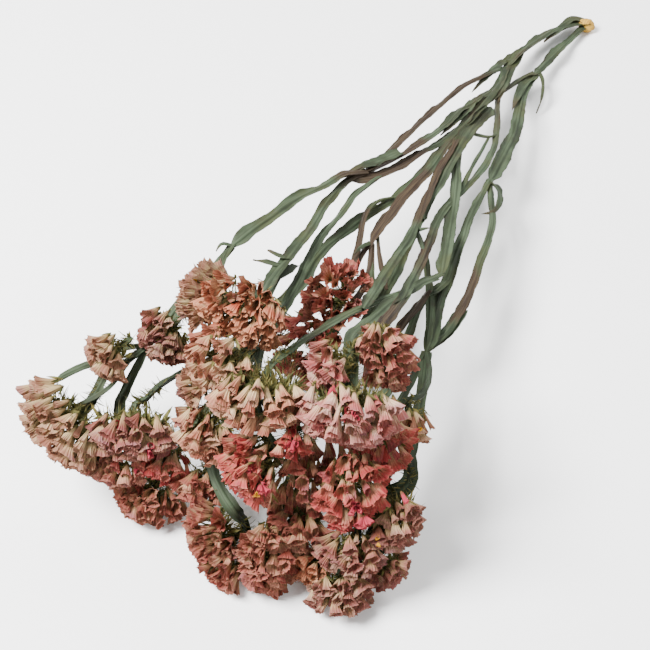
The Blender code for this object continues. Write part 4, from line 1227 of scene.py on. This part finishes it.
@dataclass
class FlowerSpray:
    """One flower head: calyces that hang to one side, and bracts at their feet and along its back.

    Each calyx has its cell on a dome round the head, and hangs to the way that the head looks. It droops
    where the head is high enough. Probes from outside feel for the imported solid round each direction. The
    sizes of single calyces, bracts, scales and hairs are drawn from their spans.
    """

    shape: SprayShape
    solid: BVHTree
    draw: random.Random
    mouth: float = 3.8
    foot: float = 0.6
    calyx_length: float = 11.8
    cell: float = 3.6
    fewest: int = 8
    dome: float = 80.0
    hang: float = 0.56
    droop: float = 0.55
    droop_from: float = 16.0
    droop_over: float = 40.0
    scatter: float = 0.14
    bend: float = 0.14
    swell: float = 1.04
    probes: int = 5
    probe_lean: float = 0.16
    outside: float = 40.0
    rows: int = 8
    columns: int = 28
    reaches: Span = (0.94, 1.10)
    lengths: Span = (0.72, 1.12)
    mouths: Span = (0.75, 1.22)
    shut_mouth: float = 0.45
    shut_share: float = 0.15
    bracts_each: int = 5
    bract_length: Span = (4.5, 8.0)
    bract_width: Span = (0.7, 1.7)
    scale_length: Span = (5.0, 9.0)
    scale_width: Span = (1.4, 2.4)
    hair_length: Span = (5.0, 10.0)
    hair_width: Span = (0.4, 0.8)
    leafy_width: Span = (1.6, 2.4)
    leafy_share: float = 0.18

    @property
    def size(self) -> float:
        """How large the calyces are here, as a share of their full size."""
        return 0.62 + 0.38 * self.shape.size

    @property
    def downward(self) -> np.ndarray:
        """The way that the calyces hang: the way the head looks, drooping where there is room below it."""
        room = (self.shape.head.centre[2] - self.droop_from) / self.droop_over
        room = min(1.0, max(0.0, room))
        way = self.shape.out - np.array((0.0, 0.0, self.droop * room))
        return way / np.linalg.norm(way)

    @property
    def crumple(self) -> float:
        """How crumpled the lips are: most where the head looks up and has dried without hanging."""
        return 1.0 + 1.7 * min(1.0, max(0.0, self.shape.head.pitch / 30.0))

    def directions(self) -> list[np.ndarray]:
        """Even directions over the dome, with a little scatter.

        Returns:
            Unit vectors in the head's own frame.
        """
        head = self.shape.head
        widest = 1 - math.cos(math.radians(self.dome))
        area = TURN * head.reach ** 2 * widest + math.pi * head.reach * head.spread
        count = max(self.fewest, round(area / (math.pi * (self.cell * self.size) ** 2)))
        found = []
        for number in range(count):
            height = 1 - widest * (number + 0.5) / count
            turn = number * GOLDEN_TURN + self.draw.uniform(-0.2, 0.2)
            flat = math.sqrt(max(0.0, 1 - height ** 2))
            ray = np.array([flat * math.cos(turn), flat * math.sin(turn), height])
            ray += jitter(self.draw) * self.scatter
            found.append(ray / np.linalg.norm(ray))
        return found

    def free_reach(self, ray: np.ndarray) -> float:
        """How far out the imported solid's surface is along a direction and close round it.

        Args:
            ray: The direction in the head's own frame.

        Returns:
            The furthest distance from the core's long middle.
        """
        turns = (turn * TURN / self.probes for turn in range(1, self.probes + 1))
        leans = (self.probe_lean * beside(ray, (0.31, 0.52, 0.79), turn) for turn in turns)
        best = 0.0
        for way in (ray, *(ray + lean for lean in leans)):
            way = way / np.linalg.norm(way)
            ahead = self.shape.turned(way)
            far = self.shape.spot(way, 0.0) + SETTLED + ahead * self.outside
            hit = self.solid.ray_cast(Vector(far * MM), Vector(-ahead), self.outside * MM)
            if hit[0] is not None:
                best = max(best, self.outside - hit[3] / MM)
        return best

    def folds(self, t: np.ndarray, a: np.ndarray) -> tuple[np.ndarray, np.ndarray]:
        """How a calyx's paper is folded: five ribs, and crisp pleats from one column to the next.

        Args:
            t: The shares of its length.
            a: The angles round it.

        Returns:
            The factor on its radius, and how much of a rib there is.
        """
        draw = self.draw
        rib = np.cos(5 * a + draw.uniform(0, PHASES))
        sign = np.where(np.arange(a.shape[1]) % 2 == 0, 1.0, -1.0)
        depth = np.array([draw.uniform(0.3, 1.6) for _ in range(a.shape[1])]) * draw.uniform(0.055, 0.105)
        sway = sum(draw.uniform(-1, 1) * np.cos(k * a + draw.uniform(0, PHASES)) for k in (2, 3, 4, 6))
        factor = 1 + 0.04 * rib * t + (sign * depth)[None] * t ** 0.7 + 0.085 * self.crumple * sway * t ** 1.4
        return factor, 0.5 + 0.5 * sign[None] * (0.75 + 0.25 * rib)

    def calyx(self, sheets: Sheets, foot: np.ndarray, way: np.ndarray, length: float, mouth: float,
              accent: float = 0.0) -> None:
        """Add one papery calyx: a slim foot that opens into a pleated, ragged funnel.

        Args:
            sheets: Where it goes.
            foot: Where it grows from.
            way: The way it points.
            length: How long it is.
            mouth: How wide its lip is, as a radius.
            accent: 1 for the strong pink, -1 for yellow.
        """
        draw = self.draw
        axes = spun_axes(draw, way)
        t = np.linspace(0.0, 1.0, self.rows)[:, None] ** 0.9
        steps = np.cumsum([draw.uniform(0.55, 1.45) for _ in range(self.columns)])
        a = (steps / steps[-1] * TURN)[None]
        factor, rib = self.folds(t, a)
        # The funnel's profile: evenly open, or late, and the lip curled in or out
        late = draw.uniform(0.05, 0.35)
        radius = (self.foot + (mouth - self.foot) * ((1 - late) * t ** 0.85 + late * t ** 3)) * factor
        curl = draw.uniform(-0.25, 0.30)
        radius = radius * (1 + curl * np.clip(t - 0.72, 0, 1) * 3.0 * t)
        pressed = draw.uniform(0.10, 0.60) * t ** 0.7
        x, y = radius * np.cos(a) * (1 + 0.35 * pressed), radius * np.sin(a) * (1 - pressed)
        # The rim: waves, teeth between the ribs, and a tear in one of three
        rag = sum(draw.uniform(-1, 1) * np.cos(k * a + draw.uniform(0, PHASES)) for k in (1, 2, 3, 6, 11))
        tear = np.exp(-((a - draw.uniform(0.5, 5.8)) / 0.16) ** 2) * draw.choice((0.0, 0.0, 0.22))
        z = length * (t + t ** 4 * (0.028 * self.crumple * rag - 0.015 * (1 - rib) - tear))
        x, y = (wide + draw.uniform(-1, 1) * self.bend * length * t ** 2 for wide in (x, y))
        shape = (a / TURN, t, draw.random())
        look = (rib, accent, draw.random() ** 2)
        sheets.add(laid(foot, axes, x, y, z), shape, look, closed=True, pleated=True)

    def accents(self, sheets: Sheets) -> None:
        """Add the slim pink buds, the yellow petals and the filling calyces of the head's own spots.

        Args:
            sheets: Where they go.
        """
        for accent in ACCENTS:
            if accent.head != self.shape.head.name:
                continue
            for _ in range(accent.count):
                shift = jitter(self.draw)
                way = np.array(accent.spot) - self.shape.seat
                way = way / np.linalg.norm(way) + shift * 0.5
                length, mouth, spread = 2.0, 1.1, 2.2
                if accent.trace is Trace.PINK_BUD:
                    length, mouth = self.draw.uniform(4.5, 7.0), self.draw.uniform(0.9, 1.8)
                elif accent.trace is Trace.CALYX:
                    way = way * 0.35 + self.downward
                    length, mouth, spread = self.calyx_length, self.mouth, 6.0
                foot = np.array(accent.spot) + shift * spread - way * length * 0.5
                self.calyx(sheets, foot, way, length, mouth, accent.trace.value)

    def build(self, paper: bpy.types.Material, green: bpy.types.Material) -> None:
        """Build the calyces in place of the head's solid, and the bracts.

        Args:
            paper: The calyces' material.
            green: The bracts' material.
        """
        shape, draw, name = self.shape, self.draw, self.shape.head.name
        calyces, bracts = Sheets(), Sheets()
        for ray in self.directions():
            reach = min(shape.head.reach, self.free_reach(ray))
            reach = reach * draw.uniform(*self.reaches) * SWELLS.get(name, self.swell)
            if reach < shape.core * 0.9:
                continue
            aim = shape.turned(ray) * (1 - self.hang) + self.downward * self.hang
            aim = aim / np.linalg.norm(aim) + jitter(draw, 0.22)
            length = min(self.calyx_length * self.size * draw.uniform(*self.lengths), reach - 0.4)
            wide = draw.random() < 1 - self.shut_share
            mouth = self.mouth * self.size * (draw.uniform(*self.mouths) if wide else self.shut_mouth)
            foot = shape.spot(ray, reach) - aim / np.linalg.norm(aim) * length
            self.calyx(calyces, foot, aim, length, mouth)
            for _ in range(self.bracts_each):
                lean = aim + jitter(draw, 0.55)
                width = draw.uniform(*self.bract_width)
                start = foot - aim * draw.uniform(0.0, 2.0)
                add_blade(bracts, draw, start, lean, draw.uniform(*self.bract_length) * self.size, width)
        self.accents(calyces)
        self.rachis(bracts)
        self.tuft(bracts)
        made = calyces.piece(name + "_calyces", paper, name)
        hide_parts(name)
        bracts.piece(name + "_bracts", green, "stem")

    def rachis(self, sheets: Sheets) -> None:
        """Add the spike's own stalk through the head, and the short scales round it.

        Args:
            sheets: Where they go.
        """
        shape, draw, size, half = self.shape, self.draw, self.shape.size, self.shape.head.spread / 2
        along = np.linspace(-1.0, 1.0, 9)[:, None]
        around = (np.arange(8) / 8 * TURN)[None]
        thick = 1.7 * size * np.sqrt(np.maximum(1.02 - along ** 2, 0.02)) + 0.2
        middle = shape.seat + shape.out * 2.2 * size
        grid = laid(middle, (shape.along, shape.across, shape.out),
                    along * (half + 3.0 * size), np.cos(around) * thick, np.sin(around) * thick)
        sheets.add(grid, (0.0, 0.0, draw.random() * 0.4), closed=True)
        for number in range(round(26 * size + half * 3.2)):
            turn = number * GOLDEN_TURN
            way = shape.across * math.cos(turn) + shape.out * abs(math.sin(turn)) + jitter(draw, 0.4)
            foot = middle + shape.along * draw.uniform(-1, 1) * (half + 2.5 * size)
            length = draw.uniform(*self.scale_length) * size
            add_blade(sheets, draw, foot, way, length, draw.uniform(*self.scale_width))

    def tuft(self, sheets: Sheets) -> None:
        """Add the dry, hair-like bracts that stand along the head's back, on the side of its seat.

        Args:
            sheets: Where they go.
        """
        shape, draw, size, half = self.shape, self.draw, self.shape.size, self.shape.head.spread / 2
        mane = MANES.get(shape.head.name, 1.0)
        for number in range(round((70 * size + half * 6.0) * mane)):
            turn = number * GOLDEN_TURN
            stretch = draw.uniform(-1, 1) * (half + 2.5)
            flat = np.array([math.cos(turn), math.sin(turn), 0.0])
            foot = (shape.seat + shape.turned(flat) * draw.uniform(0.4, 3.4) * size
                    + shape.along * stretch + shape.out * draw.uniform(-2.0, 3.5))
            way = flat * draw.uniform(0.5, 1.1) + np.array([0.0, 0.0, draw.uniform(-0.4, 0.8)])
            way = shape.turned(way) - self.downward * draw.uniform(0.0, 0.9) * mane + jitter(draw, 0.35)
            width = self.leafy_width if draw.random() < self.leafy_share else self.hair_width
            length = draw.uniform(*self.hair_length) * (0.5 + 0.5 * size) * (0.7 + 0.3 * mane)
            add_blade(sheets, draw, foot, way, length, draw.uniform(*width))


@dataclass
class Studio:
    """A plain pale floor, soft lights, and the camera at the photograph's angle.

    Each lamp has a name, a place from the target in metres, the side of its square and a power in watts.
    """

    turn: float = 30.0
    height: float = 50.0
    lens: float = 70.0
    distance: float = 690.0
    target: Point = (0.0, 0.0, 60.0)
    lamps: tuple[tuple[str, Point, float, float], ...] = (
        ("key_lamp", (-0.7, -0.55, 1.3), 0.7, 126.0),
        ("fill_lamp", (1.2, -0.7, 0.9), 1.2, 12.0),
        ("back_lamp", (0.2, 1.3, 1.1), 1.0, 26.0),
    )
    white: float = 1.0
    sky: float = 0.52
    pale: float = 0.93
    floor: float = 3.0
    floor_drop: float = 0.0002

    def aim(self, item: bpy.types.Object, place: Vector, target: Vector) -> None:
        """Put a lamp or a camera somewhere and aim it.

        Args:
            item: The lamp or camera.
            place: Where it goes.
            target: What it looks at.
        """
        item.location = place
        item.rotation_euler = (place - target).to_track_quat("Z", "Y").to_euler()
        show(item)

    def lay_floor(self) -> None:
        """Lay the floor, just under the plant."""
        half = self.floor / 2
        mesh = bpy.data.meshes.new("floor")
        corners = [(-half, -half, 0), (half, -half, 0), (half, half, 0), (-half, half, 0)]
        mesh.from_pydata(corners, [], [(0, 1, 2, 3)])
        board = Board("pale_floor")
        mesh.materials.append(board.finish((self.pale,) * 3, 0.9, board.grain(300.0), 0.0002, 0.1))
        floor = bpy.data.objects.new("floor", mesh)
        floor.location.z = -self.floor_drop
        show(floor)

    def build(self) -> None:
        """Build the camera, the lights and the floor."""
        target = Vector(np.array(self.target) + SETTLED) * MM
        data = bpy.data.cameras.new("camera")
        data.lens = self.lens
        data.clip_start = 0.01
        camera = bpy.data.objects.new("camera", data)
        self.aim(camera, target + facing(self.turn, self.height) * self.distance * MM, target)
        bpy.context.scene.camera = camera
        for name, place, size, power in self.lamps:
            light = bpy.data.lights.new(name, "AREA")
            light.size = size
            light.energy = power
            self.aim(bpy.data.objects.new(name, light), target + Vector(place), target)
        world = bpy.data.worlds.new("pale_room")
        world.use_nodes = True
        ground = world.node_tree.nodes["Background"]
        ground.inputs["Color"].default_value = (self.white,) * 4
        ground.inputs["Strength"].default_value = self.sky
        bpy.context.scene.world = world
        self.lay_floor()


# Each paper's deep, body, pale and lip colours, and its cream where it has its own
PAPERS: dict[Tint, CalyxFinish] = {
    Tint.PEACH: CalyxFinish(
        "peach_paper", (0.286, 0.0384, 0.0165), (0.36, 0.0961, 0.0468), (0.456, 0.26, 0.138),
        (0.381, 0.167, 0.0908)),
    Tint.CREAM_PEACH: CalyxFinish(
        "cream_peach_paper", (0.272, 0.0744, 0.0413), (0.36, 0.164, 0.0908), (0.476, 0.341, 0.198),
        (0.245, 0.0713, 0.0523), cream=(0.449, 0.329, 0.165)),
    Tint.LILAC_PINK: CalyxFinish(
        "lilac_pink_paper", (0.313, 0.0465, 0.0484), (0.374, 0.14, 0.102), (0.476, 0.322, 0.237),
        (0.258, 0.0837, 0.088), cream=(0.462, 0.322, 0.193)),
    Tint.DUSTY_PINK: CalyxFinish(
        "dusty_pink_paper", (0.245, 0.036, 0.0286), (0.313, 0.0961, 0.0616), (0.422, 0.26, 0.154),
        (0.224, 0.0558, 0.055), cream=(0.408, 0.273, 0.132)),
    Tint.PALE_CREAM: CalyxFinish(
        "cream_paper", (0.197, 0.0775, 0.0418), (0.279, 0.152, 0.0798), (0.394, 0.279, 0.154),
        (0.204, 0.0775, 0.0578), cream=(0.394, 0.291, 0.138)),
    Tint.CORAL: CalyxFinish(
        "coral_paper", (0.286, 0.0112, 0.0176), (0.34, 0.0496, 0.0374), (0.435, 0.198, 0.127),
        (0.258, 0.0279, 0.033)),
    Tint.FADED_RED: CalyxFinish(
        "faded_red_paper", (0.204, 0.0211, 0.0187), (0.286, 0.0651, 0.0473), (0.408, 0.205, 0.132),
        (0.224, 0.0434, 0.0396), cream=(0.34, 0.174, 0.0935)),
    Tint.MAUVE_PINK: CalyxFinish(
        "mauve_paper", (0.177, 0.0384, 0.0308), (0.252, 0.0992, 0.0616), (0.374, 0.254, 0.154),
        (0.177, 0.0546, 0.0594), cream=(0.36, 0.254, 0.121)),
    Tint.BROWN_PINK: CalyxFinish(
        "brown_pink_paper", (0.211, 0.0322, 0.0231), (0.286, 0.0868, 0.0523), (0.388, 0.223, 0.127),
        (0.197, 0.0446, 0.0407), cream=(0.354, 0.223, 0.105)),
}


def solid_surface(node: bpy.types.Object) -> BVHTree:
    """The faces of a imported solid, in metres."""
    return BVHTree.FromPolygons([vertex.co.copy() for vertex in node.data.vertices],
                                [tuple(face.vertices) for face in node.data.polygons])


def main() -> None:
    """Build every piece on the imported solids, and the studio round them."""
    logging.basicConfig(level=logging.INFO, format="%(name)s: %(message)s")
    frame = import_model()
    green = BractFinish("olive_bracts").material()
    WingedStems().build(green)
    CutHeel().build()
    papers = {tint: finish.material() for tint, finish in PAPERS.items()}
    for number, head in enumerate(HEADS):
        surface = solid_surface(frame["nodes"][head.name])
        spray = FlowerSpray(SprayShape(head), surface, random.Random(HEAD_SEED + number))
        spray.build(papers[head.tint], green)
    Studio().build()


if __name__ == "__main__":
    main()
